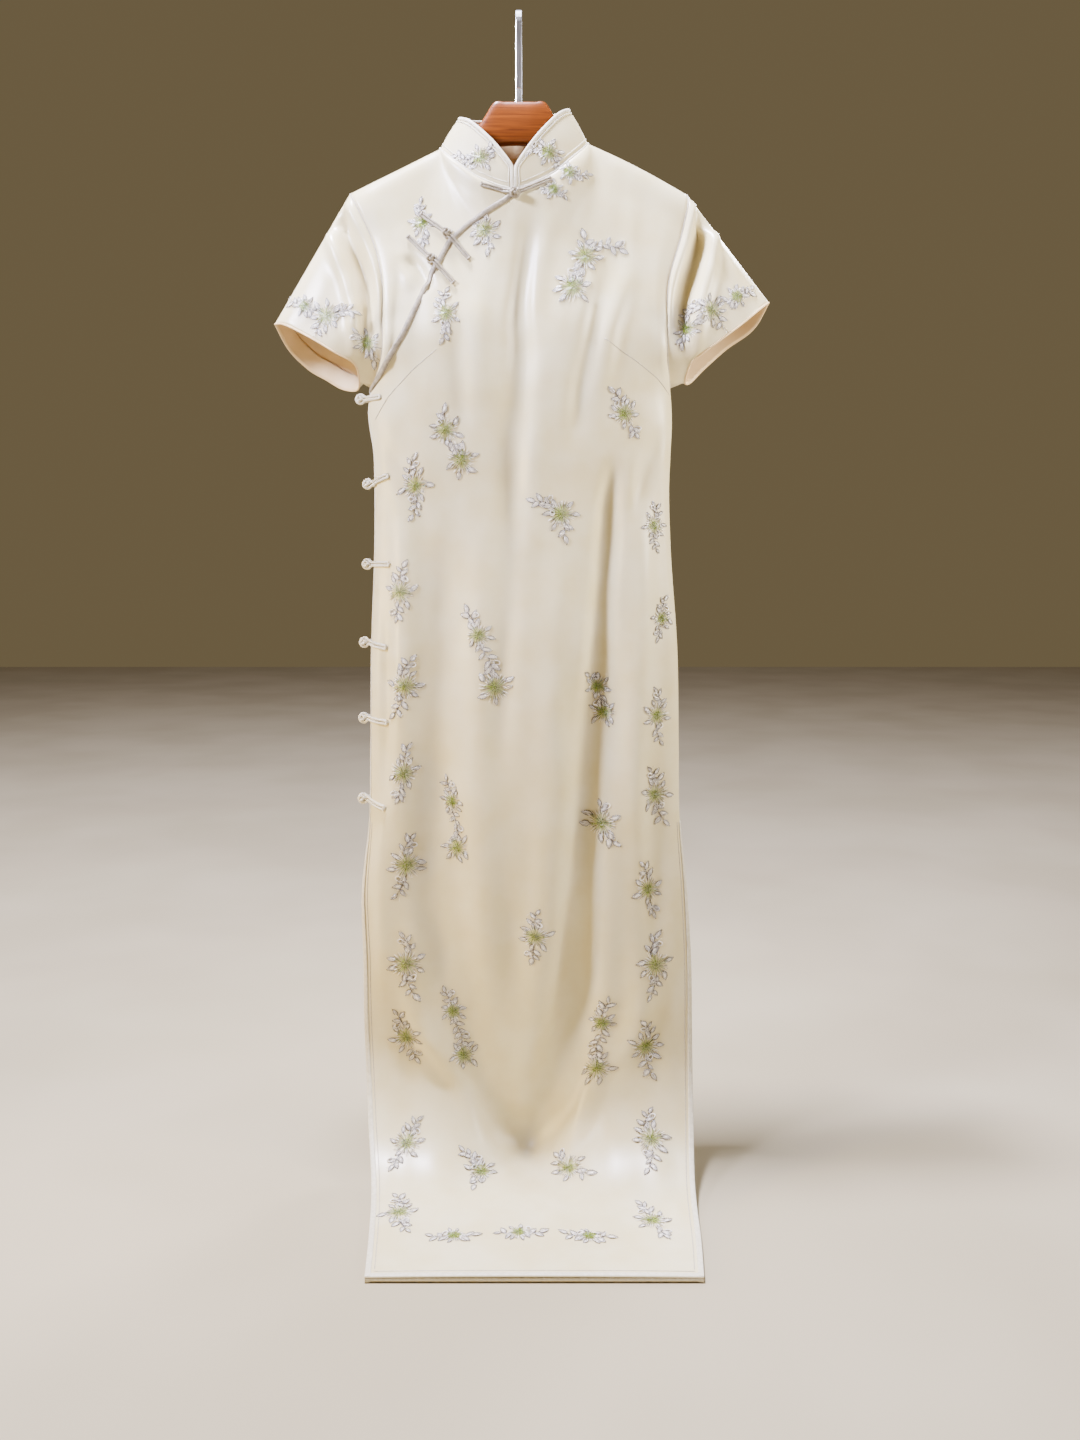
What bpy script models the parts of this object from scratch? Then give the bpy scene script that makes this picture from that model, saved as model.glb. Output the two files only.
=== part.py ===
"""Cheongsam dress on a wooden hanger.

Units are metres, +Z is up and the front of the dress faces -Y. The origin is the
inside top of the hanger's hook, where a rail carries it. The dress hangs from the
hanger, and its lowest stretch lies forward on a table, TABLE_Z below the rail.

Every piece of cloth starts as a sheet of points. Across a panel a point is named by
its column, from 0 at the left edge to 1 at the right, and down the panel by its fall,
the length of cloth from the shoulder or neck line.
"""
import bisect
import functools
import math
from collections import namedtuple

import bmesh
import bpy
import numpy as np
from mathutils import Vector
from mathutils.bvhtree import BVHTree

# ---------------------------------------------------------------- driving sizes
CLOTH = 0.0015            # wall of the dress cloth
TRIM = 0.0010             # wall of a binding that lies on the cloth
SEAM = 0.00034            # gap between two pieces along a seam
LAID = 0.0003             # gap under a piece that lies on another
PLACKET_WIDTH = 0.0055    # width of the binding along the diagonal opening
EDGE_WIDTH = 0.007        # width of the slit and hem bindings
COLLAR_BINDING = 0.0045   # width of the binding along the collar's edge
PIPING = 0.0026           # width of the piping round the neck
YOKE = 0.21               # fall of the underarm line
UNDERARM_Z = -0.412
SLIT_FALL = YOKE + 0.475  # where the side slits begin
BEND_FALL = YOKE + 0.65   # where the skirt may begin to turn forward
HEM_FALL = YOKE + 1.03
TABLE_Z = -1.253
LIE_HEIGHT = 0.0038       # middle of the two layers above the table
LAYER_APART = 0.0019      # outside of a layer from that middle, at the free edges
HEM_REACH = 0.238         # how far forward of the hanger the hem lies
SIDE_OPENING = 0.0010     # gap of the left side opening, closed by the frogs
LAP_SINK = 0.0026         # how far the underlap lies behind the front's outside
LAP_REACH = 0.024         # how far the underlap reaches under the front
SLEEVE_HEM = 0.012        # depth of the turned hem inside a sleeve
FROG_WIDTH = 0.0052       # width of a frog's double cord
FROG_HEIGHT = 0.0026
KNOT_RADIUS = 0.0056
KNOT_CLEAR = 0.0053       # a strip's inner end from the middle of its knot
CLOTH_SEARCH = 0.030      # how far above and below a place its cloth is looked for
HOOK_WIDTH = 0.0070       # the hook is a flat strip, seen here on its edge
HOOK_THICK = 0.0026
HOOK_BEND = 0.0165        # radius of the hook's bend, to the middle of the strip
HOOK_LEG = -0.088         # lower end of the hook's front leg
HOOK_SHANK = ((0.0, -0.060), (0.004, -0.046), (0.012, -0.030))

# Side edges of the body and its depths in front of and behind the side seams.
Level = namedtuple("Level", "fall left right front back flat")
BODY = (
    Level(0.210, -0.1610, 0.1672, 0.056, 0.034, 0.50),
    Level(0.232, -0.1640, 0.1690, 0.054, 0.033, 0.50),
    Level(0.285, -0.1580, 0.1675, 0.048, 0.029, 0.50),
    Level(0.315, -0.1573, 0.1662, 0.043, 0.027, 0.50),
    Level(0.380, -0.1573, 0.1676, 0.042, 0.028, 0.50),
    Level(0.500, -0.1610, 0.1753, 0.044, 0.032, 0.50),
    Level(0.600, -0.1617, 0.1768, 0.043, 0.033, 0.52),
    Level(0.685, -0.1632, 0.1780, 0.040, 0.031, 0.56),
    Level(0.765, -0.1712, 0.1855, 0.034, 0.024, 0.66),
    Level(0.830, -0.1698, 0.1896, 0.028, 0.018, 0.74),
    Level(0.930, -0.1678, 0.1905, 0.018, 0.010, 0.80),
    Level(1.010, -0.1610, 0.1870, 0.009, 0.003, 0.80),
    Level(1.090, -0.1500, 0.1800, 0.004, 0.0019, 0.80),
    Level(1.170, -0.1430, 0.1760, 0.003, 0.0019, 0.80),
    Level(1.240, -0.1395, 0.1705, 0.003, 0.0019, 0.80),
)

# The armhole seams, from the shoulder tip (part 0) to the underarm (part 1).
Armhole = namedtuple("Armhole", "part x y z")
LEFT_FRONT_ARMHOLE = (
    Armhole(0.00, -0.1848, 0.000, -0.1980),
    Armhole(0.05, -0.1812, -0.0085, -0.2050),
    Armhole(0.25, -0.1573, -0.020, -0.2545),
    Armhole(0.42, -0.1475, -0.029, -0.2905),
    Armhole(0.67, -0.1455, -0.035, -0.3417),
    Armhole(0.90, -0.1490, -0.027, -0.3890),
    Armhole(1.00, -0.1610, 0.000, -0.4120),
)
LEFT_BACK_ARMHOLE = (
    Armhole(0.00, -0.1848, 0.000, -0.1980),
    Armhole(0.05, -0.1830, 0.0085, -0.2050),
    Armhole(0.25, -0.1690, 0.016, -0.2545),
    Armhole(0.42, -0.1610, 0.022, -0.2905),
    Armhole(0.67, -0.1580, 0.026, -0.3417),
    Armhole(0.90, -0.1570, 0.020, -0.3890),
    Armhole(1.00, -0.1610, 0.000, -0.4120),
)
RIGHT_FRONT_ARMHOLE = (
    Armhole(0.00, 0.1859, 0.000, -0.1991),
    Armhole(0.05, 0.1862, -0.0085, -0.2060),
    Armhole(0.20, 0.1790, -0.018, -0.2417),
    Armhole(0.45, 0.1625, -0.030, -0.2996),
    Armhole(0.67, 0.1600, -0.034, -0.3440),
    Armhole(0.90, 0.1620, -0.025, -0.3910),
    Armhole(1.00, 0.1672, 0.000, -0.4120),
)
RIGHT_BACK_ARMHOLE = (
    Armhole(0.00, 0.1859, 0.000, -0.1991),
    Armhole(0.05, 0.1868, 0.0085, -0.2060),
    Armhole(0.20, 0.1830, 0.015, -0.2417),
    Armhole(0.45, 0.1710, 0.023, -0.2996),
    Armhole(0.67, 0.1665, 0.026, -0.3440),
    Armhole(0.90, 0.1655, 0.019, -0.3910),
    Armhole(1.00, 0.1672, 0.000, -0.4120),
)

# The sleeve openings, from the outer tip down the front to the underarm seam (part
# 0.5) and back up behind (part 1).
Cuff = namedtuple("Cuff", "part x y z")
LEFT_CUFF = (
    Cuff(0.00, -0.2673, 0.000, -0.3410),
    Cuff(0.07, -0.2560, -0.016, -0.3440),
    Cuff(0.17, -0.2283, -0.028, -0.3584),
    Cuff(0.31, -0.1947, -0.036, -0.3791),
    Cuff(0.41, -0.1760, -0.026, -0.3900),
    Cuff(0.50, -0.1745, 0.000, -0.4045),
    Cuff(0.58, -0.1800, 0.022, -0.4110),
    Cuff(0.67, -0.1975, 0.036, -0.4075),
    Cuff(0.77, -0.2168, 0.042, -0.3963),
    Cuff(0.87, -0.2403, 0.040, -0.3819),
    Cuff(0.95, -0.2590, 0.022, -0.3610),
    Cuff(1.00, -0.2673, 0.000, -0.3410),
)
RIGHT_CUFF = (
    Cuff(0.00, 0.2757, 0.000, -0.3174),
    Cuff(0.07, 0.2640, -0.016, -0.3270),
    Cuff(0.17, 0.2417, -0.027, -0.3459),
    Cuff(0.31, 0.2067, -0.035, -0.3725),
    Cuff(0.41, 0.1870, -0.025, -0.3880),
    Cuff(0.50, 0.1838, 0.000, -0.4050),
    Cuff(0.58, 0.1905, 0.018, -0.4040),
    Cuff(0.69, 0.2077, 0.028, -0.3870),
    Cuff(0.80, 0.2331, 0.031, -0.3640),
    Cuff(0.92, 0.2648, 0.020, -0.3400),
    Cuff(1.00, 0.2757, 0.000, -0.3174),
)

# Half of the neck ring and of the collar's edge, as distances out from the middle.
# The turn is 0 at the front and 180 behind.
CollarPost = namedtuple("CollarPost", "turn base_x base_y base_z top_x top_y top_z")
COLLAR = (
    CollarPost(0, 0.0000, -0.0400, -0.2049, 0.0012, -0.0410, -0.1815),
    CollarPost(15, 0.0170, -0.0385, -0.1998, 0.0070, -0.0400, -0.1710),
    CollarPost(30, 0.0390, -0.0340, -0.1887, 0.0210, -0.0350, -0.1508),
    CollarPost(50, 0.0605, -0.0250, -0.1702, 0.0415, -0.0230, -0.1262),
    CollarPost(90, 0.0808, 0.0000, -0.1457, 0.0595, -0.0010, -0.1095),
    CollarPost(135, 0.0600, 0.0240, -0.1480, 0.0450, 0.0170, -0.1080),
    CollarPost(180, 0.0000, 0.0340, -0.1500, 0.0000, 0.0270, -0.1070),
)
NECK_X = -0.0043          # the collar's middle
BASE_TILT = 0.034         # the neck ring rises to the right by this slope
TOP_TILT = 0.080

# The diagonal opening, from the collar to the left underarm.
Step = namedtuple("Step", "x z")
PLACKET = (
    Step(-0.1610, -0.4120),
    Step(-0.1550, -0.4050),
    Step(-0.1430, -0.3870),
    Step(-0.1250, -0.3590),
    Step(-0.1075, -0.3220),
    Step(-0.0945, -0.2930),
    Step(-0.0868, -0.2790),
    Step(-0.0770, -0.2600),
    Step(-0.0690, -0.2510),
    Step(-0.0550, -0.2390),
    Step(-0.0310, -0.2240),
    Step(-0.0150, -0.2150),
    Step(-0.0043, -0.2049),
)

# Soft folds of the front and of the back: a straight run of cloth pushed out (height
# above 0) or in, and faded at both of its ends.
Fold = namedtuple("Fold", "x fall end_x end_fall width height")
FRONT_FOLDS = (
    Fold(0.018, 0.02, -0.021, 0.30, 0.015, -0.0045),
    Fold(0.100, 0.10, 0.058, 0.26, 0.012, -0.0035),
    Fold(-0.052, 0.12, -0.040, 0.24, 0.016, 0.0030),
    Fold(0.104, 0.28, 0.082, 0.66, 0.018, -0.0095),
    Fold(0.086, 0.48, 0.052, 0.98, 0.025, -0.0130),
    Fold(0.066, 0.80, 0.014, 1.12, 0.030, -0.0110),
    Fold(0.028, 0.32, 0.020, 0.96, 0.028, 0.0070),
    Fold(-0.080, 0.28, -0.088, 0.90, 0.030, -0.0070),
    Fold(-0.060, 0.78, 0.000, 1.10, 0.030, -0.0060),
    Fold(-0.128, 0.30, -0.128, 0.82, 0.016, 0.0035),
    Fold(0.130, 0.30, 0.128, 0.80, 0.018, 0.0045),
    Fold(-0.120, 0.76, -0.080, 0.98, 0.018, 0.0060),
    Fold(0.150, 0.78, 0.105, 1.00, 0.020, 0.0060),
)
BACK_FOLDS = (
    Fold(0.050, 0.10, 0.040, 0.50, 0.022, -0.0060),
    Fold(-0.055, 0.12, -0.060, 0.56, 0.024, -0.0065),
    Fold(0.000, 0.34, 0.010, 0.88, 0.030, 0.0060),
    Fold(0.088, 0.40, 0.060, 0.92, 0.026, -0.0080),
    Fold(-0.090, 0.46, -0.070, 0.92, 0.028, -0.0080),
    Fold(0.130, 0.36, 0.128, 0.80, 0.018, 0.0040),
    Fold(-0.128, 0.36, -0.126, 0.80, 0.018, 0.0040),
)
Bust = namedtuple("Bust", "x fall width height")
BUSTS = (
    Bust(-0.078, 0.155, 0.050, 0.0100),
    Bust(0.082, 0.150, 0.050, 0.0100),
)

# Frogs on the front: the loop strip's outer end, the knot, the button strip's end.
Frog = namedtuple("Frog", "name loop_x loop_z knot_x knot_z button_x button_z")
FRONT_FROGS = (
    Frog("collar", 0.0363, -0.1935, -0.0032, -0.2105, -0.0416, -0.1990),
    Frog("chest_upper", -0.1082, -0.2237, -0.0763, -0.2497, -0.0495, -0.2833),
    Frog("chest_lower", -0.1221, -0.2483, -0.0931, -0.2778, -0.0653, -0.3101),
)
# Frogs down the left side opening: height of the knot, how far out it stands, and how
# much higher the front strip ends.
SideFrog = namedtuple("SideFrog", "z out rise")
SIDE_FROGS = (
    SideFrog(-0.4240, 0.0100, 0.000),
    SideFrog(-0.5170, 0.0078, 0.008),
    SideFrog(-0.6050, 0.0078, 0.000),
    SideFrog(-0.6908, 0.0078, -0.005),
    SideFrog(-0.7739, 0.0078, -0.003),
    SideFrog(-0.8624, 0.0078, -0.007),
)
SIDE_FROG_REACH = 0.032   # length of a side frog's strip on the front
SIDE_FROG_BACK = 0.026    # and on the back

# Half of the hanger, by the distance out from its middle.
Slice = namedtuple("Slice", "out top low depth round")
HANGER_X = 0.0018
HANGER = (
    Slice(0.000, -0.0979, -0.1440, 0.0085, 0.5),
    Slice(0.016, -0.0979, -0.1446, 0.0085, 0.5),
    Slice(0.028, -0.0985, -0.1465, 0.0085, 0.5),
    Slice(0.040, -0.1165, -0.1520, 0.0082, 0.6),
    Slice(0.060, -0.1420, -0.1625, 0.0078, 0.8),
    Slice(0.085, -0.1590, -0.1750, 0.0072, 1.0),
    Slice(0.125, -0.1775, -0.1910, 0.0062, 1.0),
    Slice(0.162, -0.1965, -0.2060, 0.0048, 1.0),
    Slice(0.169, -0.2000, -0.2050, 0.0026, 1.0),
)

# ---------------------------------------------------------------- sampling
SIDE_COLUMN = 0.007 / 0.165       # the first column lies one binding in
SHOULDER_COLUMNS = 5
NECK_COLUMNS = 12
COLUMNS = 2 * SHOULDER_COLUMNS + NECK_COLUMNS
MIDDLE = COLUMNS // 2
YOKE_FALLS = (0.0, 0.006, 0.021, 0.042, 0.063, 0.084, 0.105, 0.126, 0.147, 0.168,
              0.189, 0.210)
WAIST_FALLS = (0.255, 0.300)
SKIRT_FALLS = (0.345, 0.390, 0.435, 0.480, 0.525, 0.570, 0.615, 0.650, SLIT_FALL,
               0.715, 0.760, 0.810, BEND_FALL, 0.905, 0.940, 0.970, 0.995, 1.020, 1.045,
               1.070, 1.100, 1.145, 1.190, HEM_FALL - EDGE_WIDTH, HEM_FALL)
ARMHOLE_ROWS = len(YOKE_FALLS) - 1
FALLS = YOKE_FALLS + WAIST_FALLS + SKIRT_FALLS
SLIT_ROW = FALLS.index(SLIT_FALL)
SLEEVE_ROWS = 6


@functools.lru_cache(maxsize=None)
def curve_of(table, along, name):
    xs = [float(getattr(row, along)) for row in table]
    ys = [float(getattr(row, name)) for row in table]
    return xs, ys, [float(slope) for slope in np.gradient(ys, xs)]


def smooth(table, along, name, place):
    """Value of a named column at a place along a table, on a smooth curve."""
    xs, ys, slopes = curve_of(table, along, name)
    i = min(max(bisect.bisect_left(xs, place) - 1, 0), len(xs) - 2)
    span = xs[i + 1] - xs[i]
    t = min(max((place - xs[i]) / span, 0.0), 1.0)
    keep = 2 * t ** 3 - 3 * t ** 2 + 1
    rise = t ** 3 - 2 * t ** 2 + t
    fall = t ** 3 - t ** 2
    return (keep * ys[i] + (1 - keep) * ys[i + 1]
            + span * (rise * slopes[i] + fall * slopes[i + 1]))


def ease(t):
    """0 before t = 0, 1 after t = 1, and a soft step between."""
    t = min(max(t, 0.0), 1.0)
    return t * t * (3 - 2 * t)


def table_point(table, along, place):
    return np.array([smooth(table, along, axis, place) for axis in "xyz"])


# ---------------------------------------------------------------- the body's form
def across(column):
    """-1 at the left edge to 1 at the right, one binding wide at the first column."""
    step = column * COLUMNS
    if step > COLUMNS / 2:
        return -across(1 - column)
    first = math.acos(1 - SIDE_COLUMN)
    if step < 1:
        return -math.cos(first * step)
    rest = (math.pi / 2 - first) / (COLUMNS / 2 - 1)
    return -math.cos(first + rest * (step - 1))


def collar_point(turn, height):
    """A point of the collar; turn runs -180 to 180, height 0 at the neck to 1."""
    side = -1.0 if turn < 0 else 1.0
    turn = abs(turn)
    base_x = side * smooth(COLLAR, "turn", "base_x", turn)
    top_x = side * smooth(COLLAR, "turn", "top_x", turn)
    base = np.array([NECK_X + base_x, smooth(COLLAR, "turn", "base_y", turn),
                     smooth(COLLAR, "turn", "base_z", turn) + BASE_TILT * base_x])
    top = np.array([NECK_X + top_x, smooth(COLLAR, "turn", "top_y", turn),
                    smooth(COLLAR, "turn", "top_z", turn) + TOP_TILT * top_x])
    return base + (top - base) * height


def top_edge(column, facing):
    """Shoulders and neck line; facing is -1 in front and 1 behind."""
    step = column * COLUMNS
    left_tip = table_point(LEFT_FRONT_ARMHOLE, "part", 0)
    right_tip = table_point(RIGHT_FRONT_ARMHOLE, "part", 0)
    if step < SHOULDER_COLUMNS:
        return left_tip + (collar_point(-90, 0) - left_tip) * step / SHOULDER_COLUMNS
    if step > COLUMNS - SHOULDER_COLUMNS:
        part = (COLUMNS - step) / SHOULDER_COLUMNS
        rise = np.array([0, 0, 0.0025 * math.sin(math.pi * part)])
        return right_tip + (collar_point(90, 0) - right_tip) * part + rise
    turn = -90 + 180 * (step - SHOULDER_COLUMNS) / NECK_COLUMNS
    if facing > 0:
        turn = -180 - turn if turn < 0 else 180 - turn
    return collar_point(turn, 0)


def softened_edge(column, facing, v):
    """The top edge as it acts lower down, where its corners at the neck are rounded."""
    reach = min(0.14, column, 1 - column) * ease(v / 0.35)
    places = [top_edge(column + reach * part, facing) for part in (-1, -0.5, 0, 0.5, 1)]
    return sum(places) / len(places)


def hang(fall, x):
    """Middle of the two layers below the underarm: its place and its front normal."""
    turn_radius = 0.045 + 0.085 * ease(abs(x - 0.012) / 0.10) + 0.03 * ease(x / 0.17)
    drop = UNDERARM_Z - (TABLE_Z + LIE_HEIGHT)
    straight = drop - turn_radius
    length = straight + (math.pi / 2 - 1) * turn_radius + HEM_REACH
    bend = BEND_FALL - YOKE
    down = fall - YOKE
    if down > bend:
        down = bend + (down - bend) * (length - bend) / (HEM_FALL - BEND_FALL)
    if down <= straight:
        return np.array([x, 0.0, UNDERARM_Z - down]), np.array([0.0, -1.0, 0.0])
    angle = (down - straight) / turn_radius
    if angle < math.pi / 2:
        forward = turn_radius * (1 - math.cos(angle))
        low = turn_radius * (1 - math.sin(angle))
    else:
        forward = turn_radius + (down - straight - turn_radius * math.pi / 2)
        low = 0.0
        angle = math.pi / 2
    place = np.array([x, -forward, TABLE_Z + LIE_HEIGHT + low])
    return place, np.array([0.0, -math.cos(angle), math.sin(angle)])


def body_point(column, fall, facing):
    """A point of the front (facing -1) or back (facing 1) below the underarm."""
    left = smooth(BODY, "fall", "left", fall)
    right = smooth(BODY, "fall", "right", fall)
    c = across(column)
    x = (left + right) / 2 + c * (right - left) / 2
    full = smooth(BODY, "fall", "front" if facing < 0 else "back", fall)
    edge = LAYER_APART * ease((fall - SLIT_FALL) / 0.03)
    depth = edge + max(full - edge, 0.0) * (1 - c * c) ** smooth(BODY, "fall", "flat", fall)
    place, normal = hang(fall, x)
    push = fold_push(x, fall, facing) * side_fade(column)
    if push < 0:
        room = max(depth - LAYER_APART, 1e-6)
        push = -room * (1 - math.exp(push / room))
    return place + normal * -facing * (depth + push)


def side_fade(column):
    """Folds die out towards the side edges."""
    return ease(column / 0.12) * ease((1 - column) / 0.12)


def coons(column, fall, facing):
    """The part above the underarm, spanned between shoulder, armholes and chest."""
    v = fall / YOKE
    left_table = LEFT_FRONT_ARMHOLE if facing < 0 else LEFT_BACK_ARMHOLE
    right_table = RIGHT_FRONT_ARMHOLE if facing < 0 else RIGHT_BACK_ARMHOLE
    left = table_point(left_table, "part", v)
    right = table_point(right_table, "part", v)
    top = softened_edge(column, facing, v)
    bottom = body_point(column, YOKE, facing)
    u = (across(column) + 1) / 2
    u = 0.5 * u + 0.5 * column
    down = np.array([v, v ** 0.5, v])
    corners = ((1 - down) * ((1 - u) * top_edge(0, facing) + u * top_edge(1, facing))
               + down * ((1 - u) * body_point(0, YOKE, facing)
                         + u * body_point(1, YOKE, facing)))
    point = (1 - u) * left + u * right + (1 - down) * top + down * bottom - corners
    armholes = (1 - u) ** 8 * left[1] + u ** 8 * right[1]
    point[1] = (1 - down[1]) * top[1] + down[1] * bottom[1] + armholes
    push = fold_push(point[0], fall, facing)
    push -= fold_push(bottom[0], YOKE, facing) * down[1]
    point[1] += facing * push * side_fade(column) * ease(fall / 0.03)
    return point


def fold_push(x, fall, facing):
    """How far the folds push the cloth out at a place on a panel."""
    push = 0.0
    for fold in (FRONT_FOLDS if facing < 0 else BACK_FOLDS):
        part = (fall - fold.fall) / (fold.end_fall - fold.fall)
        middle = fold.x + (fold.end_x - fold.x) * part
        fade = ease(part / 0.25) * ease((1 - part) / 0.25)
        push += fold.height * fade * math.exp(-((x - middle) / fold.width) ** 2)
    if facing < 0:
        for bust in BUSTS:
            away = ((x - bust.x) ** 2 + (fall - bust.fall) ** 2) / bust.width ** 2
            push += bust.height * math.exp(-away)
    return push


def panel_point(column, fall, facing):
    """A point on the outside of the front (facing -1) or back (facing 1)."""
    if fall < YOKE:
        return coons(column, fall, facing)
    return body_point(column, fall, facing)


def placket_fall(column):
    """Fall at which a column of the front meets the diagonal opening."""
    if column >= 0.5:
        return 0.0
    low, high = 0.0, YOKE
    for _ in range(40):
        middle = (low + high) / 2
        point = panel_point(column, middle, -1)
        edge = np.interp(point[0], [s.x for s in PLACKET], [s.z for s in PLACKET])
        if point[2] > edge:
            low = middle
        else:
            high = middle
    return high


# ---------------------------------------------------------------- sheets of points
def sheet(columns, falls_at, facing):
    """Points of a panel, one row of them for each column."""
    return np.array([[panel_point(i / COLUMNS, fall, facing) for fall in falls_at(i)]
                     for i in columns])


def front_falls(i):
    """Falls of a front column; left of the middle it starts at the opening."""
    if i >= MIDDLE:
        return FALLS
    start = placket_fall(i / COLUMNS)
    near = np.clip(i, 1, MIDDLE - 1)
    a = panel_point((near - 1) / COLUMNS, placket_fall((near - 1) / COLUMNS), -1)
    b = panel_point((near + 1) / COLUMNS, placket_fall((near + 1) / COLUMNS), -1)
    slope = math.hypot(b[0] - a[0], b[2] - a[2]) / max(b[0] - a[0], 0.001)
    second = start + min(PLACKET_WIDTH * slope, 0.016)
    top_rows = len(YOKE_FALLS) + len(WAIST_FALLS)
    rest = np.linspace(second, WAIST_FALLS[-1], top_rows - 1)
    return (start, *rest, *SKIRT_FALLS)


def underlap_falls(i):
    """Falls of an underlap column; it reaches under the front but for its two ends."""
    if i == 0:
        return YOKE_FALLS
    end = placket_fall(i / COLUMNS)
    if i == MIDDLE:
        return (0.0,) * len(YOKE_FALLS)
    if 2 < i < MIDDLE - 1:
        end = min(end + LAP_REACH, YOKE)
    return (0.0, *np.linspace(min(0.006, end / 3), end, ARMHOLE_ROWS))


def sheet_normals(points, outward):
    """Unit normals of a sheet, turned to agree with the outward direction given."""
    du = np.gradient(points, axis=0)
    dv = np.gradient(points, axis=1)
    normals = np.cross(du, dv)
    lengths = np.linalg.norm(normals, axis=2)
    for i, j in zip(*np.nonzero(lengths < 1e-9)):
        near = 1 if i == 0 else i - 1
        normals[i, j] = normals[near, j]
        lengths[i, j] = np.linalg.norm(normals[near, j])
    normals = normals / lengths[..., None]
    middle = normals[normals.shape[0] // 2, normals.shape[1] // 2]
    return normals if np.dot(middle, outward) > 0 else -normals


def share_normals(sheets):
    """Give points that lie in two or more sheets one normal between them."""
    sums = {}
    for points, normals in sheets:
        for key, normal in zip(point_keys(points), normals.reshape(-1, 3)):
            sums[key] = sums.get(key, 0) + normal
    for points, normals in sheets:
        flat = normals.reshape(-1, 3)
        for n, key in enumerate(point_keys(points)):
            flat[n] = sums[key] / np.linalg.norm(sums[key])


def point_keys(points):
    return [tuple(row) for row in np.round(points.reshape(-1, 3) * 1e6).astype(int)]


def drawn_in(points, gaps):
    """Sheet with its edges drawn in by half a seam; gaps are left, right, top, end.

    A gap is one width, or one for each point of the edge.
    """
    moved = points.copy()
    edges = (((0, slice(None)), (1, slice(None))), ((-1, slice(None)), (-2, slice(None))),
             ((slice(None), 0), (slice(None), 1)), ((slice(None), -1), (slice(None), -2)))
    for gap, (edge, inner) in zip(gaps, edges):
        if np.any(gap):
            line = points[edge]
            along = np.gradient(line, axis=0)
            along /= np.maximum(np.linalg.norm(along, axis=1), 1e-9)[:, None]
            way = points[inner] - line
            way -= along * np.sum(way * along, axis=1)[:, None]
            sizes = np.maximum(np.linalg.norm(way, axis=1), 1e-9)
            step = np.minimum(np.divide(gap, 2), sizes * 0.4)
            moved[edge] += way / sizes[:, None] * step[:, None]
    return moved


# ---------------------------------------------------------------- making solids
def material(name, colour, rough, metal=0.0):
    mat = bpy.data.materials.new(name)
    mat.use_nodes = True
    shader = mat.node_tree.nodes["Principled BSDF"]
    shader.inputs["Base Color"].default_value = (*colour, 1.0)
    shader.inputs["Roughness"].default_value = rough
    shader.inputs["Metallic"].default_value = metal
    return mat


def finish_object(name, bm, mat, smooth_faces=True):
    bmesh.ops.recalc_face_normals(bm, faces=bm.faces)
    mesh = bpy.data.meshes.new(name)
    bm.to_mesh(mesh)
    bm.free()
    mesh.materials.append(mat)
    if smooth_faces:
        mesh.shade_smooth()
        mesh.set_sharp_from_angle(angle=math.radians(50))
    obj = bpy.data.objects.new(name, mesh)
    bpy.context.collection.objects.link(obj)
    return obj


def wall(name, outer, inner, mat):
    """Closed solid between two sheets; points that coincide become one."""
    bm = bmesh.new()
    layers = []
    numbers = {}
    for key in point_keys(outer):
        numbers.setdefault(key, len(numbers))
    index = np.array([numbers[key] for key in point_keys(outer)]).reshape(outer.shape[:2])
    for layer in (outer, inner):
        flat = layer.reshape(-1, 3)
        verts = [None] * len(numbers)
        for place, n in zip(flat, index.ravel()):
            if verts[n] is None:
                verts[n] = bm.verts.new(place)
        layers.append(verts)
    sides = set()
    for i in range(outer.shape[0] - 1):
        for j in range(outer.shape[1] - 1):
            a, b = index[i, j], index[i + 1, j]
            c, d = index[i + 1, j + 1], index[i, j + 1]
            for loop in ((a, b, c), (a, c, d)):
                if len(set(loop)) == 3:
                    bm.faces.new([layers[0][n] for n in loop])
                    bm.faces.new([layers[1][n] for n in reversed(loop)])
                    sides |= set(zip(loop, loop[1:] + loop[:1]))
    for a, b in sides:
        if (b, a) not in sides:
            bm.faces.new([layers[0][b], layers[0][a], layers[1][a], layers[1][b]])
    return finish_object(name, bm, mat)


def laid_strip(name, points, normals, mat, lift=LAID, thick=TRIM):
    """A strip whose points are a panel's own, moved out along its normals."""
    return wall(name, points + normals * (lift + thick), points + normals * lift, mat)


def lofted(name, rings, mat):
    """Closed solid through rings of points, with flat ends."""
    bm = bmesh.new()
    loops = [[bm.verts.new(place) for place in ring] for ring in rings]
    for a, b in zip(loops, loops[1:]):
        for s, first in enumerate(a):
            t = (s + 1) % len(a)
            bm.faces.new([first, a[t], b[t], b[s]])
    bm.faces.new(loops[0])
    bm.faces.new(loops[-1])
    return finish_object(name, bm, mat)


def oval_ring(place, wide, high, sides=8):
    """Ring round a place, with half axes given as vectors."""
    angles = [2 * math.pi * (s + 0.5) / sides for s in range(sides)]
    return [place + wide * math.cos(a) + high * math.sin(a) for a in angles]


def cord_strip(name, path, ups, mat):
    """A frog's flat double cord along a path, its ends drawn in a little."""
    path = np.array(path)
    along = np.gradient(path, axis=0)
    along /= np.linalg.norm(along, axis=1)[:, None]
    rings = []
    for k, (place, forward, up) in enumerate(zip(path, along, ups)):
        wide = np.cross(forward, up)
        wide /= np.linalg.norm(wide)
        end = 0.6 if k in (0, len(path) - 1) else 1.0
        rings.append(oval_ring(place, wide * FROG_WIDTH / 2 * end,
                               np.array(up) * FROG_HEIGHT / 2 * end))
    return lofted(name, rings, mat)


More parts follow.
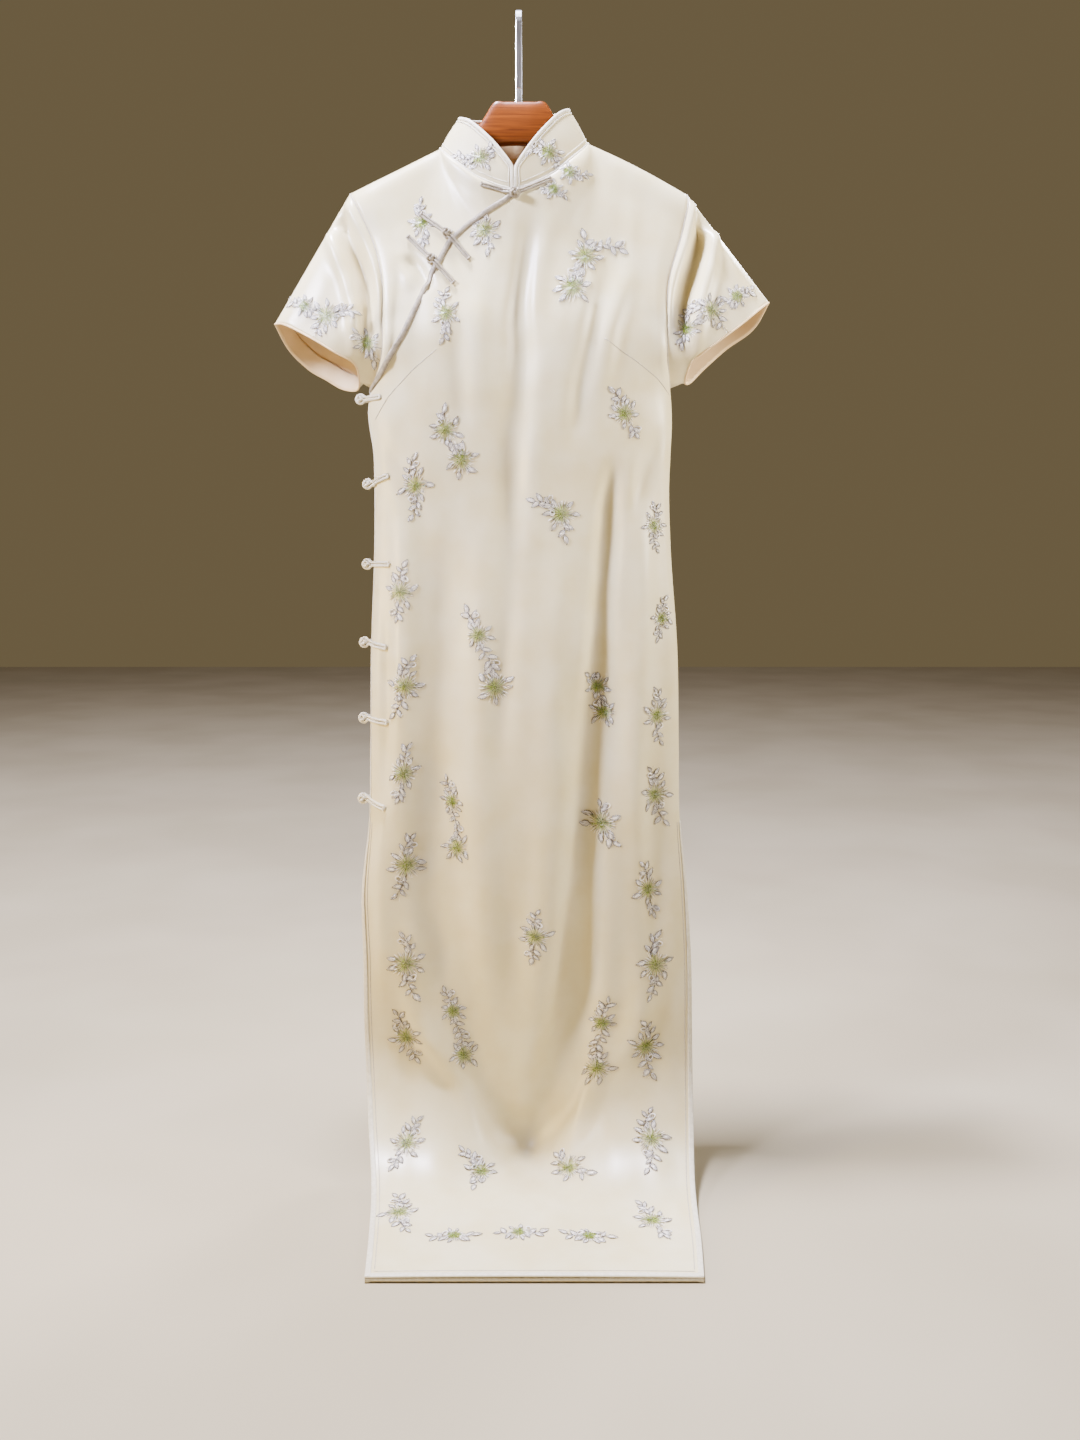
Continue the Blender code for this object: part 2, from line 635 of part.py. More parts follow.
def knot_ball(name, centre, mat):
    bm = bmesh.new()
    bmesh.ops.create_icosphere(bm, subdivisions=2, radius=KNOT_RADIUS)
    bmesh.ops.translate(bm, verts=bm.verts, vec=Vector(centre))
    return finish_object(name, bm, mat)


# ---------------------------------------------------------------- the garment
def clear_scene():
    for obj in list(bpy.data.objects):
        bpy.data.objects.remove(obj, do_unlink=True)


def sleeve_sheet(front_armhole, back_armhole, cuff):
    """Points of a sleeve: rings from the armhole to the opening."""
    parts = [fall / YOKE for fall in YOKE_FALLS]
    ring = [table_point(front_armhole, "part", part) for part in parts]
    ring += [table_point(back_armhole, "part", part) for part in parts[-2::-1]]
    count = len(ring) - 1
    spread = []
    for n, place in enumerate(ring):
        half = n / ARMHOLE_ROWS
        part = 0.5 * parts[min(n, 2 * ARMHOLE_ROWS - n)]
        part = part if half <= 1 else 1 - part
        opening = table_point(cuff, "part", 0.5 * part + 0.5 * n / count)
        column = []
        for j in range(SLEEVE_ROWS + 1):
            down = j / SLEEVE_ROWS
            column.append(place + (opening - place) * down)
        spread.append(column)
    sheet_points = np.array(spread)
    fullness = np.sin(np.linspace(0, math.pi, SLEEVE_ROWS + 1)) * 0.006
    rounds = np.sin(np.linspace(0, 2 * math.pi, count + 1))
    sheet_points[:, :, 1] -= rounds[:, None] * fullness[None, :]
    return sheet_points


def collar_sheet():
    """Points of the collar, from its left front end round the back to its right."""
    front = np.linspace(0, -90, NECK_COLUMNS // 2 + 1)
    back = np.linspace(-90, -180, NECK_COLUMNS // 2 + 1)[1:]
    turns = [*front, *back]
    turns += [-turn for turn in reversed(turns[:-1])]
    length = 0.040
    heights = (0.0, PIPING / length, 0.5, 1 - COLLAR_BINDING / length, 1.0)
    points = np.array([[collar_point(turn, h) for h in heights] for turn in turns])
    points[0] = [collar_point(-0.01, h) for h in heights]
    points[0, 0] = collar_point(0, 0)
    return points


def tree_of(names):
    """Search tree over the named objects' faces."""
    verts, faces = [], []
    for name in names:
        mesh = bpy.data.objects[name].data
        base = len(verts)
        verts += [tuple(v.co) for v in mesh.vertices]
        faces += [[base + n for n in face.vertices] for face in mesh.polygons]
    return BVHTree.FromPolygons(verts, faces)


def ball_place(tree, x, z):
    """Centre of a knot that just clears the front of the cloth behind it."""
    reach = KNOT_RADIUS + LAID
    places = []
    for dx in np.linspace(-reach, reach, 9):
        for dz in np.linspace(-reach, reach, 9):
            stand = reach ** 2 - dx ** 2 - dz ** 2
            if stand > 0:
                start = Vector((x + dx, -0.4, z + dz))
                hit = tree.ray_cast(start, Vector((0, 1, 0)))[0]
                places.append(hit.y - math.sqrt(stand))
    return np.array([x, min(places), z])


def height_over(tree, place, up):
    """How far the cloth rises above a place, seen against its up; None off the cloth."""
    hit = tree.ray_cast(Vector(place + up * CLOTH_SEARCH), Vector(-up),
                        2 * CLOTH_SEARCH)[0]
    return None if hit is None else float(np.dot(np.array(hit) - place, up))


def settled(path, ups, tree):
    """A strip's path moved along its ups until the strip just clears the cloth."""
    path, ups = np.array(path), np.array(ups, dtype=float)
    rises = [height_over(tree, place, up) or 0.0 for place, up in zip(path, ups)]
    path = path + ups * np.array(rises)[:, None]
    along = np.gradient(path, axis=0)
    wide = np.cross(along, ups)
    wide *= FROG_WIDTH / 2 / np.linalg.norm(wide, axis=1)[:, None]
    rises = []
    for place, forward, side, up in zip(path, along, wide, ups):
        heights = [height_over(tree, place + forward * a + side * s, up)
                   for a in (-1, -0.5, 0, 0.5, 1) for s in (-0.8, 0, 0.8)]
        rises.append(max([height for height in heights if height is not None],
                         default=0.0))
    return path + ups * (np.array(rises)[:, None] + LAID + FROG_HEIGHT / 2), ups


def edge_pair(points, normals, columns, width):
    """A sheet two points wide: an edge of a panel and its points a width further in."""
    edge, inner = columns
    reach = np.linalg.norm(points[inner] - points[edge], axis=1)[:, None]
    part = np.minimum(width / reach, 0.8)
    points_in = points[edge] + (points[inner] - points[edge]) * part
    normals_in = normals[edge] + (normals[inner] - normals[edge]) * part
    return np.stack([points[edge], points_in]), np.stack([normals[edge], normals_in])


def make_bindings(front, front_n, back, back_n, mat):
    laid_strip("placket_binding", front[:MIDDLE + 1, :2], front_n[:MIDDLE + 1, :2], mat)
    slit = slice(SLIT_ROW, None)
    runs = (("edge_binding_front_left", front, front_n, (0, 1), slice(2, None)),
            ("slit_binding_front_right", front, front_n, (-1, -2), slit),
            ("slit_binding_back_left", back, back_n, (0, 1), slit),
            ("slit_binding_back_right", back, back_n, (-1, -2), slit))
    for name, points, normals, columns, rows in runs:
        strip, strip_n = edge_pair(points[:, rows], normals[:, rows], columns, EDGE_WIDTH)
        laid_strip(name, strip, strip_n, mat, lift=3 * LAID)
    for name, points, normals in (("hem_binding_front", front, front_n),
                                  ("hem_binding_back", back, back_n)):
        strip = drawn_in(points[1:-1, -2:], (2 * SEAM, 2 * SEAM, 0, 0))
        laid_strip(name, strip, normals[1:-1, -2:], mat)


def make_collar_trim(collar, collar_n, mat):
    laid_strip("collar_binding", collar[:, -2:], collar_n[:, -2:], mat)
    laid_strip("neck_piping", collar[:, :2], collar_n[:, :2], mat)
    for name, columns in (("collar_end_left", (0, 1)), ("collar_end_right", (-1, -2))):
        strip, strip_n = edge_pair(collar, collar_n, columns, COLLAR_BINDING)
        strip = drawn_in(strip[:, 1:-1], (0, 0, 2 * SEAM, 2 * SEAM))
        laid_strip(name, strip, strip_n[:, 1:-1], mat)


def make_sleeve_hem(name, points, normals, mat):
    """The turned hem, a ring that lies inside the sleeve at its opening."""
    last = points.shape[1] - 1
    strip, strip_n = [], []
    for column, column_n in zip(points, normals):
        left = min(SLEEVE_HEM, 0.45 * np.linalg.norm(column[-1] - column[0]))
        place, normal = column[-1], column_n[-1]
        for j in range(last, 0, -1):
            span = np.linalg.norm(column[j - 1] - column[j])
            part = min(left / span, 1.0)
            place = column[j] + (column[j - 1] - column[j]) * part
            normal = column_n[j] + (column_n[j - 1] - column_n[j]) * part
            left -= span * part
            if left <= 0:
                break
        strip.append([column[-1], place])
        strip_n.append([column_n[-1], normal])
    strip, strip_n = np.array(strip), np.array(strip_n)
    inside = strip - strip_n * (CLOTH + 4 * LAID)
    wall(name, inside, inside - strip_n * TRIM, mat)


def make_front_frogs(mat):
    tree = tree_of(["front_panel", "underlap", "placket_binding", "collar",
                    "neck_piping"])
    for frog in FRONT_FROGS:
        knot = ball_place(tree, frog.knot_x, frog.knot_z)
        knot_ball("knot_" + frog.name, knot, mat)
        ends = (("loop_strip_", frog.loop_x, frog.loop_z),
                ("button_strip_", frog.button_x, frog.button_z))
        for kind, x, z in ends:
            away = np.array([x - frog.knot_x, 0, z - frog.knot_z])
            start = KNOT_CLEAR / np.linalg.norm(away)
            path = [knot + away * part for part in np.linspace(start, 1, 7)]
            path, ups = settled(path, [(0, -1, 0)] * len(path), tree)
            cord_strip(kind + frog.name, path, ups, mat)


def side_path(fall, facing, knot, reach, rise):
    """Places and normals of a side frog's strip, out from its knot round the panel."""
    under = 3 * LAID + TRIM if facing < 0 else 0.0
    lift = under + LAID + FROG_HEIGHT / 2
    path, ups = [], []
    length = 0.0
    for column in np.arange(0.001, 0.5, 0.001):
        at = fall - rise * min(length / reach, 1.0)
        here = panel_point(column, at, facing)
        across_way = panel_point(column + 0.002, at, facing) - here
        down_way = panel_point(column, at + 0.004, facing) - here
        up = np.cross(across_way, down_way) * facing
        up /= np.linalg.norm(up)
        place = here + up * lift
        if np.linalg.norm(place - knot) < KNOT_RADIUS + FROG_HEIGHT / 2:
            continue
        step = np.linalg.norm(place - path[-1]) if path else 0.0
        if path and step < reach / 7:
            continue
        length += step
        path.append(place)
        ups.append(up)
        if length > reach:
            break
    return path, ups


def make_side_frogs(mat):
    tree = tree_of(["front_panel", "back_panel", "edge_binding_front_left",
                    "placket_binding"])
    for n, frog in enumerate(SIDE_FROGS, 1):
        fall = YOKE + UNDERARM_Z - frog.z
        edge = panel_point(0.0, fall, -1)
        knot = np.array([edge[0] - frog.out, 0.0, frog.z])
        knot_ball(f"knot_side_{n}", knot, mat)
        path, ups = side_path(fall, -1, knot, SIDE_FROG_REACH, frog.rise)
        path, ups = settled(path, ups, tree)
        cord_strip(f"loop_strip_side_{n}", path, ups, mat)
        path, ups = side_path(fall, 1, knot, SIDE_FROG_BACK, 0.0)
        path, ups = settled(path, ups, tree)
        cord_strip(f"button_strip_side_{n}", path, ups, mat)


def make_hanger(mat):
    rings = []
    for side, cuts in ((-1, HANGER[::-1]), (1, HANGER[1:])):
        for cut in cuts:
            middle = (cut.top + cut.low) / 2
            half = (cut.top - cut.low) / 2
            ring = []
            for s in range(16):
                angle = 2 * math.pi * s / 16
                wide = math.copysign(abs(math.cos(angle)) ** cut.round, math.cos(angle))
                high = math.copysign(abs(math.sin(angle)) ** cut.round, math.sin(angle))
                ring.append((HANGER_X + side * cut.out, cut.depth * wide,
                             middle + half * high))
            rings.append(ring)
    lofted("hanger", rings, mat)


def make_hook(mat):
    """A flat strip from the hanger's top, over the rail and down in front."""
    middle_z = HOOK_THICK / 2 - HOOK_BEND
    path = [(0.0, HANGER[0].top + LAID), *HOOK_SHANK]
    path += [(HOOK_BEND * math.cos(a), middle_z + HOOK_BEND * math.sin(a))
             for a in np.linspace(0, math.pi, 13)]
    path += [(-HOOK_BEND, z) for z in np.linspace(-0.030, HOOK_LEG, 4)]
    points = np.array([(HANGER_X / 2, y, z) for y, z in path])
    along = np.gradient(points, axis=0)
    along /= np.linalg.norm(along, axis=1)[:, None]
    corners = ((1, 0.7), (0.8, 1), (-0.8, 1), (-1, 0.7), (-1, -0.7), (-0.8, -1),
               (0.8, -1), (1, -0.7))
    half_width = np.array([HOOK_WIDTH / 2, 0, 0])
    rings = []
    for place, forward in zip(points, along):
        half_thick = np.cross(forward, (1, 0, 0)) * HOOK_THICK / 2
        rings.append([place + w * half_width + h * half_thick for w, h in corners])
    lofted("hook", rings, mat)


def main():
    clear_scene()
    ivory = material("ivory_satin", (0.80, 0.77, 0.70), 0.42)
    warm = material("ivory_satin_inside", (0.76, 0.66, 0.46), 0.55)
    binding = material("satin_binding", (0.66, 0.62, 0.55), 0.45)
    wood = material("hanger_wood", (0.45, 0.17, 0.05), 0.4)
    steel = material("hook_steel", (0.70, 0.70, 0.68), 0.3, 1.0)

    front = sheet(range(COLUMNS + 1), front_falls, -1)
    lap = sheet(range(MIDDLE + 1), underlap_falls, -1)
    back = sheet(range(COLUMNS + 1), lambda i: FALLS, 1)
    left_sleeve = sleeve_sheet(LEFT_FRONT_ARMHOLE, LEFT_BACK_ARMHOLE, LEFT_CUFF)
    right_sleeve = sleeve_sheet(RIGHT_FRONT_ARMHOLE, RIGHT_BACK_ARMHOLE, RIGHT_CUFF)
    collar = collar_sheet()

    front_n = sheet_normals(front, (0, -1, 0))
    lap_n = sheet_normals(lap, (0, -1, 0))
    back_n = sheet_normals(back, (0, 1, 0))
    left_n = sheet_normals(left_sleeve, (0, 0, -1))
    right_n = sheet_normals(right_sleeve, (0, 0, -1))
    collar_n = sheet_normals(collar, (0, 1, 0))
    share_normals([(front, front_n), (lap, lap_n), (back, back_n), (left_sleeve, left_n),
                   (right_sleeve, right_n), (collar, collar_n)])

    closed = slice(ARMHOLE_ROWS + 1, SLIT_ROW + 1)
    for normals in (front_n, back_n):
        normals[-1, closed] = (1, 0, 0)
    front_n[0, 1:SLIT_ROW + 1] = (-1, 0, 0)
    back_n[0, closed] = (-1, 0, 0)

    gap = SEAM
    front_out = drawn_in(front, (SIDE_OPENING, gap, gap, 0))
    wall("front_panel", front_out, front_out - front_n * CLOTH, ivory)
    back_out = drawn_in(back, (gap, gap, gap, 0))
    wall("back_panel", back_out, back_out - back_n * CLOTH, ivory)

    sunk = np.zeros(lap.shape[:2])
    for i in range(1, MIDDLE):
        reach = min(0.8 * placket_fall(i / COLUMNS), 0.030)
        sunk[i] = [LAP_SINK * ease(fall / reach) for fall in underlap_falls(i)]
    sunk[1, :-1] = 0.0
    top_gap = np.full(MIDDLE + 1, gap)
    top_gap[SHOULDER_COLUMNS:SHOULDER_COLUMNS + 2] = 4 * gap
    lap_out = drawn_in(lap, (gap, 0, top_gap, gap)) - lap_n * sunk[..., None]
    wall("underlap", lap_out, lap_out - lap_n * CLOTH, ivory)

    near_underarm = np.sin(np.linspace(0, math.pi, len(left_sleeve))) ** 12
    for side, points, normals in (("left", left_sleeve, left_n),
                                  ("right", right_sleeve, right_n)):
        out = drawn_in(points, (0, 0, gap * (2 + 3 * near_underarm), 0))
        out[-1] = out[0]
        wall("sleeve_" + side, out, out - normals * CLOTH, ivory)
        make_sleeve_hem("sleeve_hem_" + side, out, normals, warm)
    collar_out = drawn_in(collar, (gap, gap, gap, 0))
    wall("collar", collar_out, collar_out - collar_n * CLOTH, ivory)

    make_bindings(front_out, front_n, back_out, back_n, binding)
    make_collar_trim(collar_out, collar_n, binding)
    make_front_frogs(binding)
    make_side_frogs(binding)
    make_hanger(wood)
    make_hook(steel)


main()
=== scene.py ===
"""Looks of a cheongsam on a wooden hanger.

Units are metres, +Z is up and the front of the dress faces -Y. A point of a panel is
named by its column, 0 at the left edge to 1 at the right, and by its fall, the length of
cloth from the shoulder or neck line. A place on the cloth is named by x and by low, how
far down the cloth it lies below the hook's top.
"""
import math
import random
from collections import namedtuple

import bmesh
import bpy
import numpy as np
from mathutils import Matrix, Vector
from mathutils.bvhtree import BVHTree
from mathutils.geometry import barycentric_transform


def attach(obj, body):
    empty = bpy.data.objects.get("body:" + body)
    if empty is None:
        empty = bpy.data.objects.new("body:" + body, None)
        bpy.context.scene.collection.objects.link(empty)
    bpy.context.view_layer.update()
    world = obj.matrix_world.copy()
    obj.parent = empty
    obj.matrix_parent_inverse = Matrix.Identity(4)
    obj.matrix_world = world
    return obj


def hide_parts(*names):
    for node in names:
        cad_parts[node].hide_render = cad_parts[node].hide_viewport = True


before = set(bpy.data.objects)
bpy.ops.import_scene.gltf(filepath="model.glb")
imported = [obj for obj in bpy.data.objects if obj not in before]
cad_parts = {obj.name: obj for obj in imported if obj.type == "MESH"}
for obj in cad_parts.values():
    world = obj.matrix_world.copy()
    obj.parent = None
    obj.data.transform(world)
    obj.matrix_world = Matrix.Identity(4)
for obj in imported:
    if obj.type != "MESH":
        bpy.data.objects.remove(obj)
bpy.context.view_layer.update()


def named_rows(columns, rows):
    """A table's rows, whose values go by the names of its columns."""
    kind = namedtuple("Row", columns)
    return tuple(kind(*row) for row in rows)


# ------------ driving sizes
SATIN = 0.0007            # thickness of the satin
COLLAR_SATIN = 0.0012     # and of the stiffened collar
LAP_SINK = 0.0026         # how far the underlap lies behind the front's outside
LAP_REACH = 0.024         # how far the underlap reaches under the front
LAP_START, LAP_END = 1.5, 10.4   # columns between which it does
PLACKET_WIDTH = 0.0066    # rolled binding of the diagonal opening
COLLAR_ROLL = 0.0042      # rolled binding round the collar's edge
NECK_ROLL = 0.0028        # piping in the neck seam
EDGE_ROLL = 0.0055        # flat binding of the slits and the side opening
HEM_ROLL = 0.0060         # flat binding of the hems
SLEEVE_HEM = 0.020        # depth of the turned hem in a sleeve
CORD = 0.0013             # radius of a frog's cord
THREAD = 0.00046          # radius of an embroidery stitch, a few strands wide
CORD_APART = 0.0014       # each cord of a pair from the middle of the strip
KNOT_RADIUS = 0.0056
COLLAR_CORD_IN = 0.0056   # fine cord on the collar, from its edges
SEWN_LINE_IN = 0.0085     # sewn line inside the bindings of slits and hem
YOKE = 0.21               # fall of the underarm line
UNDERARM_Z = -0.412       # and its height
SLIT_FALL = YOKE + 0.475  # where the side slits begin
BEND_FALL = YOKE + 0.65   # where the skirt may begin to turn forward
HEM_FALL = YOKE + 1.03
TABLE_Z = -1.253          # surface on which the hem lies
LIE_HEIGHT = 0.0038       # middle of the two layers above the table
LAYER_APART = 0.0019      # outside of a layer from that middle, at the free edges
HEM_REACH = 0.238         # how far forward of the hanger the hem lies
TURN_X = 0.006            # where the skirt's turn on to the table is tightest
TURN_RADIUS = 0.031       # its radius there
TURN_TIP = 0.014          # how far that tightest place is rounded off to the sides
TURN_REACH = 0.058        # how far to the side the turn widens
TURN_GAIN = 0.099         # and how much wider it gets
TURN_RIGHT_GAIN = 0.03    # more of it towards the right edge
RIGHT_EDGE = 0.17         # which lies about here
SHOULDER_BOW = 0.0025     # rise of the right shoulder's line over a straight one
SLEEVE_FULLNESS = 0.006   # how far a sleeve's middle swells
COLLAR_SWELL = 0.0012     # and the collar's
TROUGH_END = 1.00         # fall by which the front's troughs have died out
FOLD_FADE = 0.25          # share of a fold's length that it takes to fade at either end
CREASE_FADE = 0.3         # and of a crease's
SIDE_FADE = 0.12          # share of a panel's columns over which both fade at its sides
RIPPLES = (0.075, 0.052, 0.038, 0.027)   # from ripple to ripple
RIPPLE_HEIGHT = 0.0032    # against that distance
KNOT_CORD = 0.0014        # radius of the cord wound into a knot
STRIP_START = 0.008       # how far a front frog's strip runs past the middle of its knot
SIDE_STRIP_START = 0.006  # and a side frog's

# The body's edges, its depth to front and back, and a power: the higher, the less full.
BODY = named_rows("fall left right front back flat", (
    (0.210, -0.1610, 0.1672, 0.056, 0.034, 0.50),
    (0.232, -0.1640, 0.1690, 0.054, 0.033, 0.50),
    (0.285, -0.1580, 0.1675, 0.048, 0.029, 0.50),
    (0.315, -0.1573, 0.1662, 0.043, 0.027, 0.50),
    (0.380, -0.1573, 0.1676, 0.042, 0.028, 0.50),
    (0.500, -0.1610, 0.1753, 0.044, 0.032, 0.50),
    (0.600, -0.1617, 0.1768, 0.043, 0.033, 0.52),
    (0.685, -0.1632, 0.1780, 0.040, 0.031, 0.56),
    (0.765, -0.1712, 0.1855, 0.034, 0.024, 0.66),
    (0.830, -0.1698, 0.1896, 0.028, 0.018, 0.74),
    (0.930, -0.1678, 0.1905, 0.018, 0.010, 0.80),
    (1.010, -0.1610, 0.1870, 0.009, 0.003, 0.80),
    (1.090, -0.1500, 0.1800, 0.004, 0.0019, 0.80),
    (1.170, -0.1430, 0.1750, 0.003, 0.0019, 0.80),
    (1.240, -0.1385, 0.1680, 0.003, 0.0019, 0.80),
))
# An armhole's front and back half, by their part from the shoulder, 0, to the underarm, 1.
ARMHOLE = "part z front_x front_y back_x back_y"
LEFT_ARMHOLE = named_rows(ARMHOLE, (
    (0.00, -0.1980, -0.1848, 0.0000, -0.1848, 0.0000),
    (0.05, -0.2050, -0.1812, -0.0085, -0.1830, 0.0085),
    (0.25, -0.2545, -0.1573, -0.0200, -0.1690, 0.0160),
    (0.42, -0.2905, -0.1475, -0.0290, -0.1610, 0.0220),
    (0.67, -0.3417, -0.1455, -0.0350, -0.1580, 0.0260),
    (0.90, -0.3890, -0.1490, -0.0270, -0.1570, 0.0200),
    (1.00, -0.4120, -0.1610, 0.0000, -0.1610, 0.0000),
))
RIGHT_ARMHOLE = named_rows(ARMHOLE, (
    (0.00, -0.1991, 0.1859, 0.0000, 0.1859, 0.0000),
    (0.05, -0.2060, 0.1862, -0.0085, 0.1868, 0.0085),
    (0.20, -0.2417, 0.1790, -0.0180, 0.1830, 0.0150),
    (0.45, -0.2996, 0.1625, -0.0300, 0.1710, 0.0230),
    (0.67, -0.3440, 0.1600, -0.0340, 0.1665, 0.0260),
    (0.90, -0.3910, 0.1620, -0.0250, 0.1655, 0.0190),
    (1.00, -0.4120, 0.1672, 0.0000, 0.1672, 0.0000),
))
# A cuff's ring, from its outer tip along the front, under the arm and back behind.
CUFF = "part x y z"
LEFT_CUFF = named_rows(CUFF, (
    (0.00, -0.2673, 0.000, -0.3410),
    (0.07, -0.2560, -0.016, -0.3440),
    (0.17, -0.2283, -0.028, -0.3584),
    (0.31, -0.1947, -0.036, -0.3791),
    (0.41, -0.1760, -0.026, -0.3900),
    (0.50, -0.1745, 0.000, -0.4045),
    (0.58, -0.1800, 0.022, -0.4110),
    (0.67, -0.1975, 0.036, -0.4075),
    (0.77, -0.2168, 0.042, -0.3963),
    (0.87, -0.2403, 0.040, -0.3819),
    (0.95, -0.2590, 0.022, -0.3610),
    (1.00, -0.2673, 0.000, -0.3410),
))
RIGHT_CUFF = named_rows(CUFF, (
    (0.00, 0.2757, 0.000, -0.3174),
    (0.07, 0.2640, -0.016, -0.3270),
    (0.17, 0.2417, -0.027, -0.3459),
    (0.31, 0.2067, -0.035, -0.3725),
    (0.41, 0.1870, -0.025, -0.3880),
    (0.50, 0.1838, 0.000, -0.4050),
    (0.58, 0.1905, 0.018, -0.4040),
    (0.69, 0.2077, 0.028, -0.3870),
    (0.80, 0.2331, 0.031, -0.3640),
    (0.92, 0.2648, 0.020, -0.3400),
    (1.00, 0.2757, 0.000, -0.3174),
))
# The collar's foot and top by the turn round the neck, 0 in front to 180 behind.
COLLAR = named_rows("turn base_x base_y base_z top_x top_y top_z", (
    (0, 0.0000, -0.0400, -0.2049, 0.0012, -0.0410, -0.1815),
    (15, 0.0170, -0.0385, -0.1998, 0.0070, -0.0400, -0.1710),
    (30, 0.0390, -0.0340, -0.1887, 0.0210, -0.0350, -0.1508),
    (50, 0.0605, -0.0250, -0.1702, 0.0415, -0.0230, -0.1262),
    (90, 0.0808, 0.0000, -0.1457, 0.0595, -0.0010, -0.1095),
    (135, 0.0600, 0.0240, -0.1480, 0.0450, 0.0170, -0.1080),
    (180, 0.0000, 0.0340, -0.1500, 0.0000, 0.0270, -0.1070),
))
NECK_X = -0.0043          # middle of the neck
BASE_TILT = 0.034         # rise of the collar's foot to the right, in each metre
TOP_TILT = 0.080          # and of its top
# The diagonal opening, from the underarm to the neck.
PLACKET = named_rows("x z", (
    (-0.1610, -0.4120),
    (-0.1550, -0.4050),
    (-0.1430, -0.3870),
    (-0.1250, -0.3590),
    (-0.1075, -0.3220),
    (-0.0945, -0.2930),
    (-0.0868, -0.2790),
    (-0.0770, -0.2600),
    (-0.0690, -0.2510),
    (-0.0550, -0.2390),
    (-0.0310, -0.2240),
    (-0.0150, -0.2150),
    (-0.0043, -0.2049),
))
# Broad folds, which the solids have as well: ridges (height above 0) and troughs.
FOLD = "x fall end_x end_fall width height"
FRONT_FOLDS = named_rows(FOLD, (
    (0.018, 0.02, -0.026, 0.36, 0.017, -0.0042),
    (0.100, 0.10, 0.050, 0.30, 0.014, -0.0026),
    (-0.052, 0.12, -0.040, 0.24, 0.016, 0.0030),
    (0.104, 0.28, 0.082, 0.66, 0.018, -0.0095),
    (0.086, 0.48, 0.052, 0.98, 0.025, -0.0130),
    (0.066, 0.80, 0.014, 1.12, 0.030, -0.0110),
    (0.028, 0.32, 0.020, 0.96, 0.028, 0.0070),
    (-0.080, 0.28, -0.088, 0.90, 0.030, -0.0070),
    (-0.060, 0.78, 0.000, 1.10, 0.030, -0.0060),
    (-0.128, 0.30, -0.128, 0.82, 0.016, 0.0035),
    (0.130, 0.30, 0.128, 0.80, 0.018, 0.0045),
    (-0.120, 0.76, -0.080, 0.98, 0.018, 0.0060),
    (0.150, 0.78, 0.105, 1.00, 0.020, 0.0060),
))
BACK_FOLDS = named_rows(FOLD, (
    (0.050, 0.10, 0.040, 0.50, 0.022, -0.0060),
    (-0.055, 0.12, -0.060, 0.56, 0.024, -0.0065),
    (0.000, 0.34, 0.010, 0.88, 0.030, 0.0060),
    (0.088, 0.40, 0.060, 0.92, 0.026, -0.0080),
    (-0.090, 0.46, -0.070, 0.92, 0.028, -0.0080),
    (0.130, 0.36, 0.128, 0.80, 0.018, 0.0040),
    (-0.128, 0.36, -0.126, 0.80, 0.018, 0.0040),
))
# Two low round swells of the front.
BUSTS = named_rows("x fall width height", (
    (-0.078, 0.155, 0.050, 0.0100),
    (0.082, 0.150, 0.050, 0.0100),
))
# A front frog's knot and the far ends of its two strips.
FRONT_FROGS = named_rows("name loop_x loop_z knot_x knot_z button_x button_z", (
    ("collar", 0.0363, -0.1935, -0.0032, -0.2105, -0.0416, -0.1990),
    ("chest_upper", -0.1082, -0.2237, -0.0763, -0.2497, -0.0495, -0.2833),
    ("chest_lower", -0.1221, -0.2483, -0.0931, -0.2778, -0.0653, -0.3101),
))
# A side frog's height, how far its knot stands out, and how much its front strip rises.
SIDE_FROGS = named_rows("z out rise", (
    (-0.4240, 0.0100, 0.000),
    (-0.5170, 0.0078, 0.008),
    (-0.6050, 0.0078, 0.000),
    (-0.6908, 0.0078, -0.005),
    (-0.7739, 0.0078, -0.003),
    (-0.8624, 0.0078, -0.007),
))
SIDE_FROG_REACH = 0.032   # length of a side frog's strip on the front
SIDE_FROG_BACK = 0.024    # and on the back
HANGER_X = 0.0018         # middle of the hanger
# The hanger by distance from its middle: half its depth, and below 1 a boxier outline.
HANGER = named_rows("out top low depth round", (
    (0.000, -0.0979, -0.1440, 0.0085, 0.5),
    (0.016, -0.0979, -0.1446, 0.0085, 0.5),
    (0.028, -0.0985, -0.1465, 0.0085, 0.5),
    (0.040, -0.1165, -0.1520, 0.0082, 0.6),
    (0.060, -0.1420, -0.1625, 0.0078, 0.8),
    (0.085, -0.1590, -0.1750, 0.0072, 1.0),
    (0.125, -0.1775, -0.1910, 0.0062, 1.0),
    (0.162, -0.1965, -0.2060, 0.0048, 1.0),
    (0.169, -0.2000, -0.2050, 0.0026, 1.0),
))

